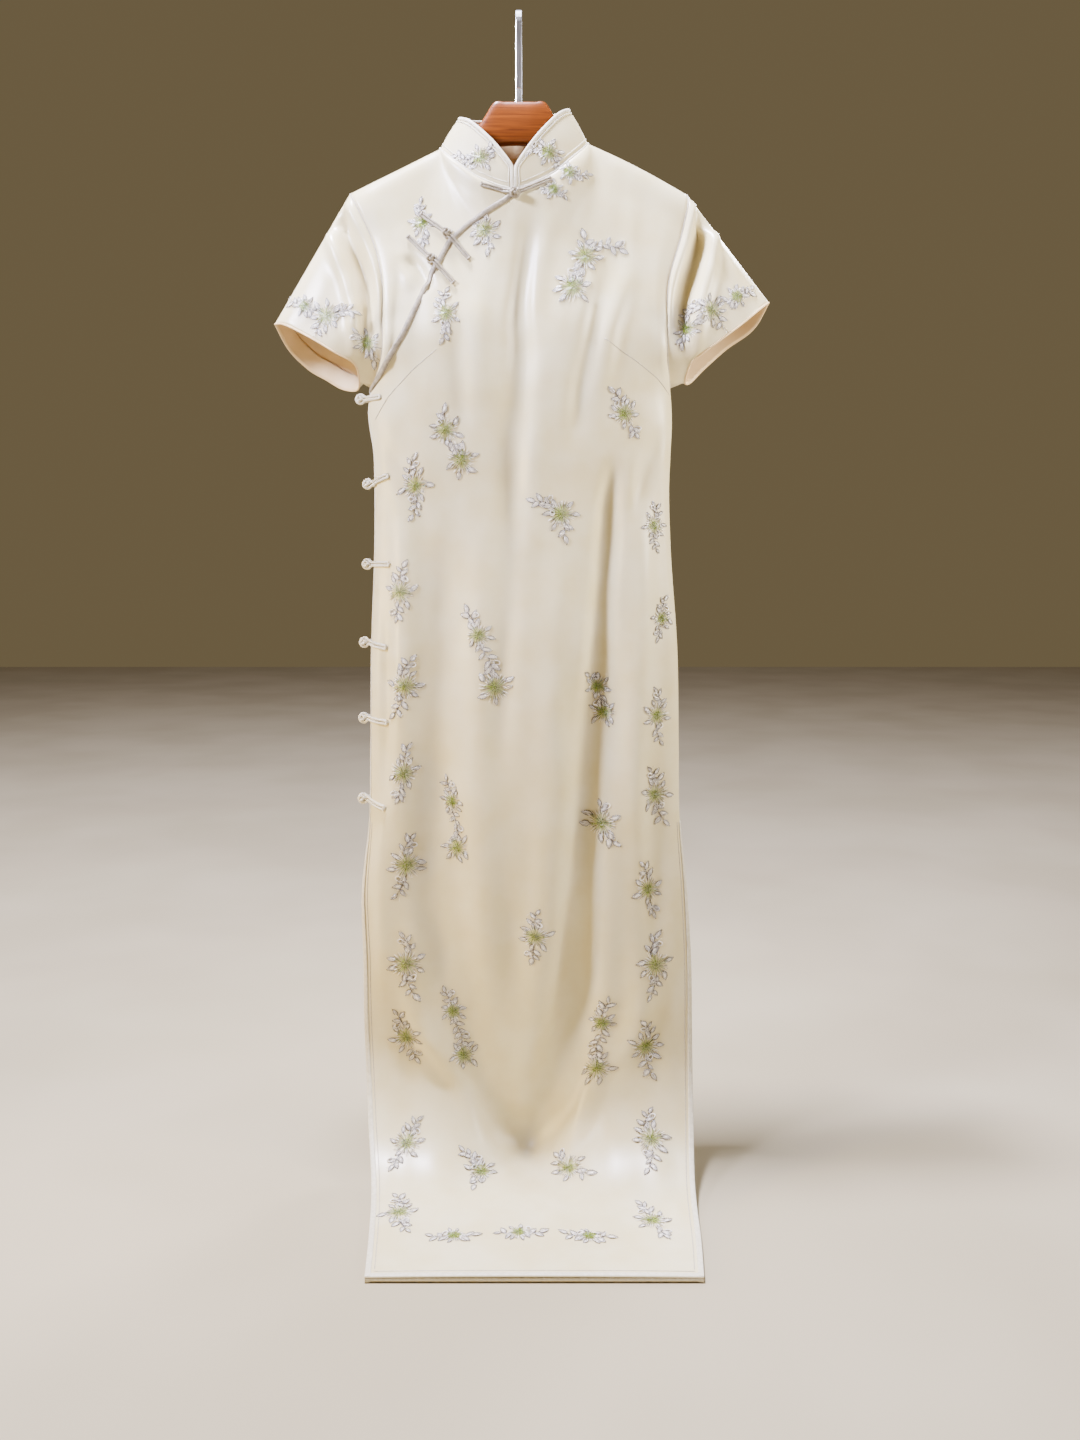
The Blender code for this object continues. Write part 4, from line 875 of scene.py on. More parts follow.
def rod_uv(path, around):
    """Along a rod and round it, in metres, for the weave."""
    run = run_of(path)
    grid = np.stack(np.broadcast_arrays(run[:, None], np.arange(around)[None, :] * 0.0008),
                    axis=-1)
    return np.concatenate([grid.reshape(-1, 2), [[0, 0]], [[run[-1], 0]]])


def face_out(piece):
    """Merge doubled points and turn the faces outwards."""
    bm = bmesh.new()
    bm.from_mesh(piece.data)
    bmesh.ops.remove_doubles(bm, verts=bm.verts, dist=1e-6)
    bmesh.ops.recalc_face_normals(bm, faces=bm.faces)
    bm.to_mesh(piece.data)
    bm.free()


def grid_places(cloth, spots):
    """Places and normals of a sheet at spots (row, column) between its grid points."""
    spots = np.array(spots, dtype=float)
    i = np.clip(spots[:, 0], 0, cloth.points.shape[0] - 1.0001)
    j = np.clip(spots[:, 1], 0, cloth.points.shape[1] - 1.0001)
    row, col = i.astype(int), j.astype(int)
    a, b = (i - row)[:, None], (j - col)[:, None]
    mixed = [(1 - a) * ((1 - b) * grid[row, col] + b * grid[row, col + 1])
             + a * ((1 - b) * grid[row + 1, col] + b * grid[row + 1, col + 1])
             for grid in (cloth.points, cloth.normals)]
    return mixed[0], unit(mixed[1])


def run_of(points):
    """Length along a line of points, from its first."""
    return np.concatenate([[0], np.cumsum(np.linalg.norm(np.diff(points, axis=0), axis=1))])


def at_runs(at, run, points):
    """Points at distances along a line of points, given the run of each of them."""
    return np.stack([np.interp(at, run, points[:, k]) for k in range(3)], axis=-1)


def step_in(points, distance):
    """Where, counted in points from the first, a distance along a line of points ends."""
    return float(np.interp(distance, run_of(points), np.arange(len(points))))


def evened(places, normals, step, rounds=0):
    """A line at an even step, its corners rounded."""
    run = run_of(places)
    at = np.linspace(0, run[-1], max(int(run[-1] / step), 3) + 1)
    places, normals = at_runs(at, run, places), unit(at_runs(at, run, normals))
    for _ in range(rounds):
        places[1:-1] = (places[:-2] + 2 * places[1:-1] + places[2:]) / 4
    return places, normals


def lay(name, line, mat, width, height, step=0.002, lift=0.0, around=8, square=1.0,
        rounds=0, closed=False):
    """A cord or binding laid along a line of places and normals."""
    places, ups = evened(line[0], line[1], step, rounds)
    if closed:
        places, ups = places[:-1], ups[:-1]
        along = unit(np.roll(places, -1, axis=0) - np.roll(places, 1, axis=0))
    else:
        along = unit(np.gradient(places, axis=0))
    sides = unit(np.cross(along, ups))
    ups = np.cross(sides, along)
    return swept(name, places + ups * lift, sides, ups, width / 2, height, mat, around, square,
                 closed)


def sew(name, cloth, spots, mat, width, height, *nodes, **ways):
    """A cord, piping or seam laid along spots of a cloth."""
    piece = lay(name, grid_places(cloth, spots), mat, width, height, **ways)
    return settle(piece, "satin_binding", *nodes)


def band(name, cloth, edge, inner, mat, width, height, lift, square=0.8):
    """A binding along an edge of a sheet, given by the edge points and those inside."""
    points, normals = cloth.points[edge], cloth.normals[edge]
    way = unit(cloth.points[inner] - points)
    along = unit(np.gradient(points, axis=0))
    way = unit(way - along * np.sum(way * along, axis=1)[:, None])
    middle = points + way * width / 2 + normals * lift
    return swept(name, middle, way, normals, width / 2, height, mat, 12, square)


# ------------ threads by nodes
def add_node(tree, kind, settings=(), inputs=(), links=()):
    """Add a node, set its properties and sockets, and link other nodes' outputs to it."""
    node = tree.nodes.new(kind)
    for key, value in dict(settings).items():
        setattr(node, key, value)
    for key, value in dict(inputs).items():
        node.inputs[key].default_value = value
    for key, (source, output) in dict(links).items():
        tree.links.new(source.outputs[output], node.inputs[key])
    return node


def thread_tree():
    """Round threads along every edge of a mesh, thinner where 'taper' says so."""
    tree = bpy.data.node_groups.new("Threads along edges", "GeometryNodeTree")
    for name, way, kind in (("Edges", "INPUT", "Geometry"), ("Thread radius", "INPUT", "Float"),
                            ("Sides", "INPUT", "Int"), ("Thread material", "INPUT", "Material"),
                            ("Threads", "OUTPUT", "Geometry")):
        tree.interface.new_socket(name, in_out=way, socket_type="NodeSocket" + kind)
    given = add_node(tree, "NodeGroupInput")
    curve = add_node(tree, "GeometryNodeMeshToCurve", links={"Mesh": (given, "Edges")})
    ring = add_node(tree, "GeometryNodeCurvePrimitiveCircle",
                    links={"Resolution": (given, "Sides"), "Radius": (given, "Thread radius")})
    taper = add_node(tree, "GeometryNodeInputNamedAttribute", {"data_type": "FLOAT"},
                     {"Name": "taper"})
    rods = add_node(tree, "GeometryNodeCurveToMesh", inputs={"Fill Caps": True},
                    links={"Curve": (curve, "Curve"), "Profile Curve": (ring, "Curve"),
                           "Scale": (taper, "Attribute")})
    even = add_node(tree, "GeometryNodeSetShadeSmooth", links={"Geometry": (rods, "Mesh")})
    real = add_node(tree, "GeometryNodeRealizeInstances", links={"Geometry": (even, "Geometry")})
    dyed = add_node(tree, "GeometryNodeSetMaterial",
                    links={"Geometry": (real, "Geometry"),
                           "Material": (given, "Thread material")})
    add_node(tree, "NodeGroupOutput", links={"Threads": (dyed, "Geometry")})
    return tree


def threads(name, paths, radius, sides, mat, tree, closed=False, tapered=True):
    """A plain mesh of threads along paths of points."""
    verts, edges, taper = [], [], []
    for path in paths:
        base, count = len(verts), len(path)
        verts += [tuple(p) for p in path]
        edges += [(base + n, base + n + 1) for n in range(count - 1)]
        if closed:
            edges.append((base + count - 1, base))
        run = np.linspace(0, math.pi, count)
        taper += list(0.45 + 0.55 * np.sin(run) if tapered and not closed else 1 + 0 * run)
    mesh = bpy.data.meshes.new(name + "_paths")
    mesh.from_pydata(verts, edges, [])
    mesh.attributes.new("taper", "FLOAT", "POINT").data.foreach_set("value", taper)
    guide = put(name + "_paths", mesh)
    modifier = guide.modifiers.new("Threads", "NODES")
    modifier.node_group = tree
    values = {"Thread radius": radius, "Sides": sides, "Thread material": mat}
    for item in tree.interface.items_tree:
        if item.in_out == "INPUT" and item.name in values:
            modifier[item.identifier] = values[item.name]
    bpy.context.view_layer.update()
    made = guide.evaluated_get(bpy.context.evaluated_depsgraph_get())
    result = bpy.data.meshes.new_from_object(made)
    guide.modifiers.clear()
    bpy.data.objects.remove(guide, do_unlink=True)
    return put(name, result)


# ------------ materials
def colour(code):
    """Linear colour of an sRGB hex value."""
    parts = [int(code[n:n + 2], 16) / 255 for n in (1, 3, 5)]
    return (*(p / 12.92 if p <= 0.04045 else ((p + 0.055) / 1.055) ** 2.4 for p in parts), 1.0)


def new_material(name, base, rough, metal=0.0, sheen=0.0, specular=0.5, coat=0.0):
    """A material, its tree and shader, and the node of the piece's own coordinates."""
    mat = bpy.data.materials.new(name)
    mat.use_nodes = True
    shader = mat.node_tree.nodes["Principled BSDF"]
    for key, value in (("Base Color", colour(base)), ("Roughness", rough),
                       ("Metallic", metal), ("Specular IOR Level", specular),
                       ("Sheen Weight", sheen), ("Sheen Roughness", 0.35),
                       ("Coat Weight", coat)):
        shader.inputs[key].default_value = value
    body = add_node(mat.node_tree, "ShaderNodeTexCoord")
    return mat, mat.node_tree, shader, body


def tint(tree, shader, source, output, low, high, start=0.35, end=0.65):
    """Colour between two hex values by a pattern's value."""
    ramp = add_node(tree, "ShaderNodeValToRGB", links={"Fac": (source, output)})
    for stop, place, code in zip(ramp.color_ramp.elements, (start, end), (low, high)):
        stop.position = place
        stop.color = colour(code)
    tree.links.new(ramp.outputs["Color"], shader.inputs["Base Color"])


def vary_roughness(tree, shader, source, output, low, high):
    """Roughness between two values by a pattern's value."""
    ramp = add_node(tree, "ShaderNodeMapRange", inputs={"To Min": low, "To Max": high},
                    links={"Value": (source, output)})
    tree.links.new(ramp.outputs["Result"], shader.inputs["Roughness"])


def satin(name, bright, shade, rough, sheen):
    """Silk satin: woven with long floats, so it is smooth, with a soft broad gloss."""
    mat, tree, shader, body = new_material(name, bright, rough, sheen=sheen, specular=0.42)
    place = add_node(tree, "ShaderNodeUVMap", {"uv_map": "cloth"})
    # A thread is 0.1 mm and too fine to show, so the float lines are drawn 0.9 mm apart.
    stretch = add_node(tree, "ShaderNodeMapping", inputs={"Scale": (1100.0, 160.0, 1.0)},
                       links={"Vector": (place, "UV")})
    floats = add_node(tree, "ShaderNodeTexNoise", inputs={"Scale": 1.0, "Detail": 2.0},
                      links={"Vector": (stretch, "Vector")})
    # Slight yellowing and crumple, in patches 30 to 60 mm across.
    patches = add_node(tree, "ShaderNodeTexNoise",
                       inputs={"Scale": 22.0, "Detail": 3.0, "Roughness": 0.55},
                       links={"Vector": (body, "Object")})
    tint(tree, shader, patches, "Fac", shade, bright)
    vary_roughness(tree, shader, patches, "Fac", rough - 0.05, rough + 0.06)
    crumple = add_node(tree, "ShaderNodeTexNoise",
                       inputs={"Scale": 75.0, "Detail": 2.0, "Roughness": 0.4},
                       links={"Vector": (body, "Object")})
    soft = add_node(tree, "ShaderNodeBump", inputs={"Strength": 0.10, "Distance": 0.0012},
                    links={"Height": (crumple, "Fac")})
    fine = add_node(tree, "ShaderNodeBump", inputs={"Strength": 0.16, "Distance": 0.00018},
                    links={"Height": (floats, "Fac"), "Normal": (soft, "Normal")})
    tree.links.new(fine.outputs["Normal"], shader.inputs["Normal"])
    return mat


def rouleau_satin(name, bright, shade):
    """Bias-cut satin rolled into cord and binding, with a tight slanting grain."""
    mat, tree, shader, body = new_material(name, bright, 0.42, sheen=0.25, specular=0.4)
    # Slanting floats, drawn 0.8 mm apart so that they show.
    lines = add_node(tree, "ShaderNodeTexWave",
                     {"wave_type": "BANDS", "bands_direction": "DIAGONAL"},
                     {"Scale": 330.0, "Distortion": 2.5, "Detail": 1.0},
                     {"Vector": (body, "Object")})
    patches = add_node(tree, "ShaderNodeTexNoise", inputs={"Scale": 260.0, "Detail": 2.0},
                       links={"Vector": (body, "Object")})
    tint(tree, shader, patches, "Fac", shade, bright, 0.3, 0.7)
    bump = add_node(tree, "ShaderNodeBump", inputs={"Strength": 0.35, "Distance": 0.0002},
                    links={"Height": (lines, "Fac")})
    tree.links.new(bump.outputs["Normal"], shader.inputs["Normal"])
    return mat


def floss(name, bright, shade, sheen=0.5):
    """Rayon embroidery floss: glossy and slightly uneven along each stitch."""
    mat, tree, shader, body = new_material(name, bright, 0.34, sheen=sheen, specular=0.55)
    # Uneven dye and light along the stitches, every 2 to 3 mm.
    dye = add_node(tree, "ShaderNodeTexNoise", inputs={"Scale": 420.0, "Detail": 2.0},
                   links={"Vector": (body, "Object")})
    tint(tree, shader, dye, "Fac", shade, bright, 0.38, 0.62)
    return mat


def lacquered_wood(name):
    """Stained beech under clear lacquer: orange-brown, fine dark grain, soft gloss."""
    mat, tree, shader, body = new_material(name, "#6E360E", 0.38, specular=0.3, coat=0.12)
    shader.inputs["Coat Roughness"].default_value = 0.28
    # Grain lines run along the hanger, about 1.5 mm apart.
    stretch = add_node(tree, "ShaderNodeMapping", inputs={"Scale": (14.0, 260.0, 420.0)},
                       links={"Vector": (body, "Object")})
    grain = add_node(tree, "ShaderNodeTexNoise",
                     inputs={"Scale": 1.0, "Detail": 5.0, "Roughness": 0.6, "Distortion": 0.6},
                     links={"Vector": (stretch, "Vector")})
    tint(tree, shader, grain, "Fac", "#5E2C0A", "#8E480F", 0.34, 0.66)
    bump = add_node(tree, "ShaderNodeBump", inputs={"Strength": 0.2, "Distance": 0.0002},
                    links={"Height": (grain, "Fac")})
    tree.links.new(bump.outputs["Normal"], shader.inputs["Normal"])
    return mat


def brushed_steel(name):
    """Flat nickel-plated steel strip: pale, brushed along its length."""
    mat, tree, shader, body = new_material(name, "#D9DAD8", 0.28, metal=1.0)
    # Brush marks along the strip, drawn 0.5 mm apart.
    stretch = add_node(tree, "ShaderNodeMapping", inputs={"Scale": (2000.0, 2000.0, 40.0)},
                       links={"Vector": (body, "Object")})
    marks = add_node(tree, "ShaderNodeTexNoise", inputs={"Scale": 1.0, "Detail": 3.0},
                     links={"Vector": (stretch, "Vector")})
    tint(tree, shader, marks, "Fac", "#B9BAB8", "#ECECEA", 0.3, 0.7)
    vary_roughness(tree, shader, marks, "Fac", 0.22, 0.42)
    return mat


def floor_finish(name):
    """Matt painted studio floor, pale and even."""
    mat, tree, shader, body = new_material(name, "#A79B7E", 0.75, specular=0.2)
    # Faint uneven patches, about 0.3 m across.
    dust = add_node(tree, "ShaderNodeTexNoise", inputs={"Scale": 3.0, "Detail": 2.0},
                    links={"Vector": (body, "Object")})
    tint(tree, shader, dust, "Fac", "#A3977A", "#AB9F82")
    return mat


# ------------ embroidery
# Motifs are drawn in millimetres, up the cloth and to the right, round a middle at 0, 0.
FLOWER_SCALE = 1.32       # flowers against the sizes in the table below
LEAF_APART = 4.4          # from leaf to leaf along a stem
BARE_STEM = 9             # a stem isn't stitched this near to a flower's middle
BUD_SIZE = 8.5
PETAL_STITCHES = 30
STAR_STITCHES = 16
FLOWER_LEAVES = 6
# A motif's stem by its points, its flowers by place along the stem and size, and its buds
# by place and side.
Motif = namedtuple("Motif", "stem flowers buds")
MOTIFS = {
    "arched": Motif(((-5, -30), (2, -14), (3, 2), (-2, 16), (5, 30)),
                    ((0.50, 12.5),), ((0.20, 1), (0.90, -1))),
    "drop": Motif(((8, 26), (2, 14), (0, 0), (-6, -16), (-9, -26)),
                  ((0.50, 12.0),), ((0.14, 1), (0.82, -1))),
    "double": Motif(((-10, 30), (-9, 14), (-2, 0), (6, -12), (9, -26)),
                    ((0.26, 11.0), (0.86, 12.0)), ((0.04, -1), (0.56, 1))),
    "long": Motif(((-14, 46), (-6, 30), (-4, 10), (4, -8), (4, -26), (8, -44)),
                  ((0.28, 10.0), (0.90, 12.5)), ((0.02, 1), (0.58, 1))),
    "side": Motif(((-30, 10), (-18, 10), (-6, 4), (4, -6), (6, -24)),
                  ((0.64, 12.5),), ((0.24, 1), (0.40, -1))),
    "small": Motif(((-2, -16), (2, -4), (0, 8), (-4, 18)),
                   ((0.55, 11.5),), ((0.97, 1),)),
    "row": Motif(((-19, 1), (-10, -1), (0, 1), (10, -1), (19, 1)),
                 ((0.55, 8.5),), ((0.22, 1),)),
    "twig": Motif(((-13, -2), (-3, 2), (6, 1), (14, -3)), (), ((0.96, 1),)),
}
# Where the sprigs lie on each piece: turn in degrees, size against the drawing.
SPRIG = "x low motif turn size flip"
FRONT_SPRIGS = named_rows(SPRIG, (
    (0.055, 0.186, "side", 200, 0.62, False),
    (0.040, 0.207, "small", 70, 0.62, False),
    (-0.035, 0.253, "small", 20, 1.00, False),
    (-0.126, 0.197, "twig", 76, 0.75, False),
    (0.064, 0.292, "double", 6, 1.08, True),
    (0.094, 0.266, "twig", 8, 1.00, False),
    (-0.078, 0.342, "arched", 8, 0.80, False),
    (-0.068, 0.476, "double", 0, 1.02, False),
    (0.114, 0.444, "drop", 10, 0.85, True),
    (-0.113, 0.523, "arched", 10, 0.95, False),
    (0.046, 0.551, "side", -6, 0.95, False),
    (0.149, 0.565, "arched", -8, 0.75, True),
    (-0.126, 0.635, "drop", 12, 0.95, False),
    (-0.034, 0.702, "long", 6, 1.00, False),
    (0.156, 0.664, "drop", 8, 0.70, False),
    (0.088, 0.750, "double", 40, 0.80, True),
    (0.152, 0.770, "arched", -6, 0.85, True),
    (-0.124, 0.737, "arched", -6, 0.95, False),
    (-0.123, 0.830, "drop", 8, 0.95, False),
    (-0.069, 0.880, "long", -4, 0.86, False),
    (0.093, 0.887, "small", 24, 1.10, True),
    (0.152, 0.856, "arched", 4, 0.90, True),
    (-0.123, 0.932, "arched", -4, 1.00, False),
    (0.141, 0.957, "drop", -6, 0.95, True),
    (0.018, 1.002, "drop", 14, 0.85, False),
    (-0.118, 1.040, "arched", 0, 1.00, True),
    (0.147, 1.042, "arched", 4, 1.00, False),
    (-0.065, 1.110, "long", 2, 0.86, False),
    (-0.122, 1.122, "drop", 4, 0.95, True),
    (0.089, 1.125, "long", 6, 0.94, True),
    (0.141, 1.138, "arched", -4, 0.95, True),
    (-0.118, 1.240, "drop", -6, 0.95, False),
    (-0.039, 1.268, "side", -30, 0.85, False),
    (0.057, 1.266, "small", 50, 1.00, True),
    (0.137, 1.242, "arched", 6, 1.00, False),
    (-0.115, 1.336, "arched", 4, 0.95, True),
    (0.131, 1.346, "drop", 0, 0.95, True),
    (-0.063, 1.378, "row", 0, 0.95, False),
    (0.002, 1.378, "row", 2, 0.95, True),
    (0.066, 1.378, "row", -2, 0.95, False),
))
UNDERLAP_SPRIGS = named_rows(SPRIG, ((-0.104, 0.236, "drop", 24, 0.80, False),))
BACK_SPRIGS = named_rows(SPRIG, (
    (-0.060, 0.225, "small", -20, 1.00, True),
    (0.070, 0.270, "arched", 30, 0.95, False),
    (-0.090, 0.330, "drop", -16, 0.95, True),
    (0.010, 0.340, "side", 6, 0.90, False),
    (0.110, 0.410, "arched", -8, 0.90, True),
    (-0.050, 0.450, "double", 8, 1.00, True),
    (0.050, 0.520, "drop", 14, 0.95, False),
    (-0.120, 0.530, "arched", 6, 0.90, False),
    (0.125, 0.590, "drop", -4, 0.95, True),
    (-0.030, 0.650, "side", -20, 0.95, True),
    (0.060, 0.700, "long", 4, 0.95, False),
    (-0.120, 0.690, "drop", 8, 0.95, False),
    (0.140, 0.760, "arched", 0, 0.90, True),
    (-0.070, 0.810, "long", -8, 0.90, True),
    (0.020, 0.860, "small", 30, 1.10, False),
    (-0.130, 0.880, "arched", 2, 0.95, False),
    (0.110, 0.910, "double", -12, 0.90, False),
    (-0.030, 0.960, "drop", -16, 0.95, True),
    (-0.120, 1.020, "drop", 4, 0.95, True),
    (0.140, 1.040, "arched", -4, 0.95, False),
    (0.050, 1.070, "long", 6, 0.90, True),
    (-0.070, 1.120, "double", 0, 0.95, False),
    (-0.130, 1.180, "arched", 4, 0.90, False),
    (0.130, 1.200, "drop", -4, 0.95, True),
    (0.020, 1.250, "side", 10, 0.90, False),
    (-0.080, 1.290, "small", -30, 1.00, True),
    (0.090, 1.320, "arched", 16, 0.90, False),
))
LEFT_SLEEVE_SPRIGS = named_rows(SPRIG, (
    (-0.205, 0.338, "side", -18, 0.95, True),
    (-0.232, 0.326, "row", -26, 0.90, False),
    (-0.160, 0.372, "small", 30, 0.85, False),
))
RIGHT_SLEEVE_SPRIGS = named_rows(SPRIG, (
    (0.206, 0.333, "side", 24, 0.90, False),
    (0.238, 0.316, "row", 28, 0.95, True),
    (0.180, 0.356, "small", -30, 0.80, True),
))
COLLAR_SPRIGS = named_rows(SPRIG, (
    (-0.040, 0.170, "side", 150, 0.80, True),
    (0.032, 0.163, "side", 24, 0.78, False),
))
# Each floss: how high its stitches lie on the cloth, and how thick they are. The dark lilac,
# partly painted shadow, lies lower than the white.
Floss = namedtuple("Floss", "lift wide")
FLOSSES = {"white": Floss(0.0007, 0.9), "lilac_and_shadow": Floss(0.0005, 1.1),
           "green": Floss(0.0011, 1.45), "olive": Floss(0.0012, 1.45)}
# A raised leaf is a low dome of eleven points: foot, three rows of three, tip.
PAD_LIFTS = (0.0001, 0.0001, 0.0009, 0.0001, 0.0001, 0.0010, 0.0001, 0.0001, 0.0007, 0.0001,
             0.0001)
PAD_FACES = ((0, 1, 2), (0, 2, 3), (1, 4, 5, 2), (2, 5, 6, 3), (4, 7, 8, 5), (5, 8, 9, 6),
             (7, 10, 8), (8, 10, 9), (0, 3, 6, 9, 10, 7, 4, 1))


def heading(way):
    """Directions along a way, given as an angle, and to its side."""
    along = np.array([math.cos(way), math.sin(way)])
    return along, np.array([-along[1], along[0]])


def ray(middle, way, near, far, lean=0.0):
    """A stitch outwards from the middle of a flower, with a slight bend."""
    return [middle + r * heading(way + a)[0]
            for r, a in ((near, 0.0), ((near + far) / 2, lean), (far, lean))]


def petals(middle, size, turn, rng):
    """A flower: a pointed green star in a spray of white stitches, with dark lilac stitches
    between them as painted shadow, and leaves.
    """
    made = []
    for n in range(PETAL_STITCHES):
        way = math.radians(turn + 360 / PETAL_STITCHES * n + rng.uniform(-4, 4))
        point = abs(math.cos(2.5 * (way - math.radians(turn)))) * rng.uniform(0.7, 1.1)
        far = size * (0.76 + 0.28 * point)
        made.append(("white", ray(middle, way, 0.50 * size, far, rng.uniform(-0.1, 0.1))))
        # Painted shadow: a dark lilac stitch beside each white one, set a little lower.
        made.append(("lilac_and_shadow", ray(middle, way + 0.10, 0.56 * size, 0.90 * far, 0.05)[::2]))
        made.append(("green" if n % 3 else "olive",
                     ray(middle, way + 0.05, 0.20 * size, size * (0.40 + 0.38 * point))[::2]))
    for n in range(STAR_STITCHES):
        way = math.radians(turn + 360 / STAR_STITCHES * n + rng.uniform(-9, 9))
        made.append(("green" if n % 2 else "olive",
                     ray(middle, way, 0.03 * size, size * rng.uniform(0.24, 0.36))[::2]))
    for n in range(FLOWER_LEAVES):
        way = math.radians(turn + 360 / FLOWER_LEAVES * n + rng.uniform(-14, 14))
        foot = middle + size * rng.uniform(0.62, 0.76) * heading(way)[0]
        made += leaf(foot, way + rng.uniform(-0.7, 0.7), size * rng.uniform(0.55, 0.75), rng)
    return made


def leaf_width(t):
    """A leaf's width against its widest, at a part of its length."""
    return math.sin(math.pi * t ** 0.8)


def leaf(base, way, size, rng):
    """A raised white leaf under slanting stitches, edged and veined in dark lilac, which paints
    the shadow round the raised leaf.
    """
    along, side = heading(way)
    half = 0.24 * rng.uniform(0.8, 1.1)
    every = (-1, 0, 1)
    pad = [base + size * (t * along + out * side * half * leaf_width(t))
           for t, outs in ((0.0, (0,)), (0.25, every), (0.52, every), (0.78, every),
                           (1.0, (0,))) for out in outs]
    made = [("pad", pad), ("lilac_and_shadow", [base, base + along * size * 0.8])]
    for out in (-1, 1):
        made.append(("lilac_and_shadow", [base + size * (t * along + out * side * 1.1 * half * leaf_width(t))
                               for t in (0.0, 0.3, 0.62, 1.0)]))
        for t in np.linspace(0.10, 0.70, 4):
            start = base + along * size * t + side * out * 0.05 * size
            reach = 0.8 * half * size * leaf_width(t)
            made.append(("white", [start, start + along * 0.2 * size + side * out * reach]))
    return made


def bud(base, way, size):
    """A white loop of a bud on a stalk, lilac inside, held by two sepals."""
    along, side = heading(way)
    made = [("lilac_and_shadow", [base, base + along * size * 0.5])]
    middle = base + along * size * 0.85
    loop = [middle + size * (0.45 * math.cos(a) * along + 0.30 * math.sin(a) * side)
            for a in np.linspace(math.pi, 3 * math.pi, 13)]
    made += [("white", loop), ("white", [middle + 0.82 * (p - middle) for p in loop])]
    for k in (-0.35, 0.0, 0.35):
        made.append(("lilac_and_shadow", [middle - along * size * 0.22 + side * k * size * 0.4,
                               middle + along * size * 0.26 + side * k * size * 0.5]))
    for k in (-1, 1):
        start = base + along * size * 0.42
        made.append(("lilac_and_shadow", [start, start + along * size * 0.34 + side * k * size * 0.42]))
    return made


def along_stem(stem, t):
    """Place and direction on a smooth stem through its points."""
    points = np.array(stem, dtype=float)
    run = np.linspace(0, 1, len(stem))
    slopes = np.gradient(points, run, axis=0)
    i = min(int(t * (len(stem) - 1)), len(stem) - 2)
    span = run[i + 1] - run[i]
    s = (t - run[i]) / span
    place = between(points[i], points[i + 1], slopes[i], slopes[i + 1], span, s)
    way = slopes[i] + (slopes[i + 1] - slopes[i]) * s
    return place, math.atan2(way[1], way[0])


def motif_threads(motif, rng):
    """Stem, flowers and buds, with leaves to both sides wherever there is room."""
    made = []
    line = [along_stem(motif.stem, t)[0] for t in np.linspace(0, 1, 13)]
    middles = [along_stem(motif.stem, at)[0] for at, _ in motif.flowers]
    for middle, (_, size) in zip(middles, motif.flowers):
        made += petals(middle, size * FLOWER_SCALE, rng.uniform(0, 72), rng)
    for pair in zip(line, line[1:]):
        if all(np.linalg.norm(pair[0] + pair[1] - 2 * m) > 2 * BARE_STEM for m in middles):
            for shift in (-0.4, 0.4):
                made.append(("lilac_and_shadow", [p + np.array([shift, 0.1 * shift]) for p in pair]))
    length = sum(np.linalg.norm(b - a) for a, b in zip(line, line[1:]))
    count = int(length / LEAF_APART)
    for n in range(count + 1):
        at = n / count
        gaps = [abs(at - spot) * length - 0.8 * size for spot, size in motif.flowers]
        if gaps and min(gaps) < 0:
            continue
        base, way = along_stem(motif.stem, at)
        if motif.flowers and at < motif.flowers[0][0]:
            way += math.pi
        side = (1 if n % 2 else -1) * rng.uniform(0.55, 1.15) * (0.3 if n in (0, count) else 1)
        made += leaf(base, way + side, rng.uniform(8.5, 12.5), rng)
        for _ in range(4):
            spot = base + np.array([rng.gauss(0, 2.4), rng.gauss(0, 2.4)])
            made.append(("white", ray(spot, rng.uniform(0, 6.3), 0.0,
                                      rng.uniform(2.5, 4.5))[::2]))
    for at, side in motif.buds:
        base, way = along_stem(motif.stem, at)
        made += bud(base, way + side * rng.uniform(0.8, 1.3), BUD_SIZE)
    return made


def embroider(name, cloth, sprigs, seed, mats, tree):
    """Sprigs on a cloth, one piece for each colour of floss."""
    rng = random.Random(seed)
    paths = {key: [] for key in (*FLOSSES, "pad")}
    for sprig in sprigs:
        turn = math.radians(sprig.turn)
        flip = -1 if sprig.flip else 1
        for key, line in motif_threads(MOTIFS[sprig.motif], rng):
            placed = []
            bow = 0.0005 if len(line) < 4 else 0.0003
            for n, (a, b) in enumerate(line):
                a, b = a * flip * sprig.size * 0.001, b * sprig.size * 0.001
                u = sprig.x + a * math.cos(turn) - b * math.sin(turn)
                v = sprig.low - a * math.sin(turn) - b * math.cos(turn)
                found = cloth.at(u, v)
                if found is None:
                    break
                place, normal = found
                arch = math.sin(math.pi * n / (len(line) - 1)) if len(line) > 2 else 0.6
                rise = PAD_LIFTS[n] if key == "pad" else FLOSSES[key].lift + bow * arch
                placed.append(place + normal * rise)
            else:
                paths[key].append(placed)
    pieces = []
    for key, kind in FLOSSES.items():
        if paths[key]:
            piece = threads(f"{name}_{key}", paths[key], THREAD * kind.wide, 3, mats[key], tree)
            pieces.append(settle(piece, "ivory_satin"))
    if paths["pad"]:
        faces = [tuple(len(PAD_LIFTS) * n + i for i in face)
                 for n in range(len(paths["pad"])) for face in PAD_FACES]
        piece = new_piece(f"{name}_leaves", np.concatenate(paths["pad"]), faces,
                          [mats["white"]])
        face_out(piece)
        pieces.append(settle(piece, "ivory_satin"))
    return pieces


# ------------ trims
def dashes(line, stitch, gap, lift):
    """Short stitches along a line of places and normals."""
    run = run_of(line[0])
    paths = []
    for start in np.arange(0, run[-1] - stitch, stitch + gap):
        at = np.array([start, start + stitch / 2, start + stitch])
        place, up = (at_runs(at, run, grid) for grid in line)
        paths.append(place + up * lift)
    return paths


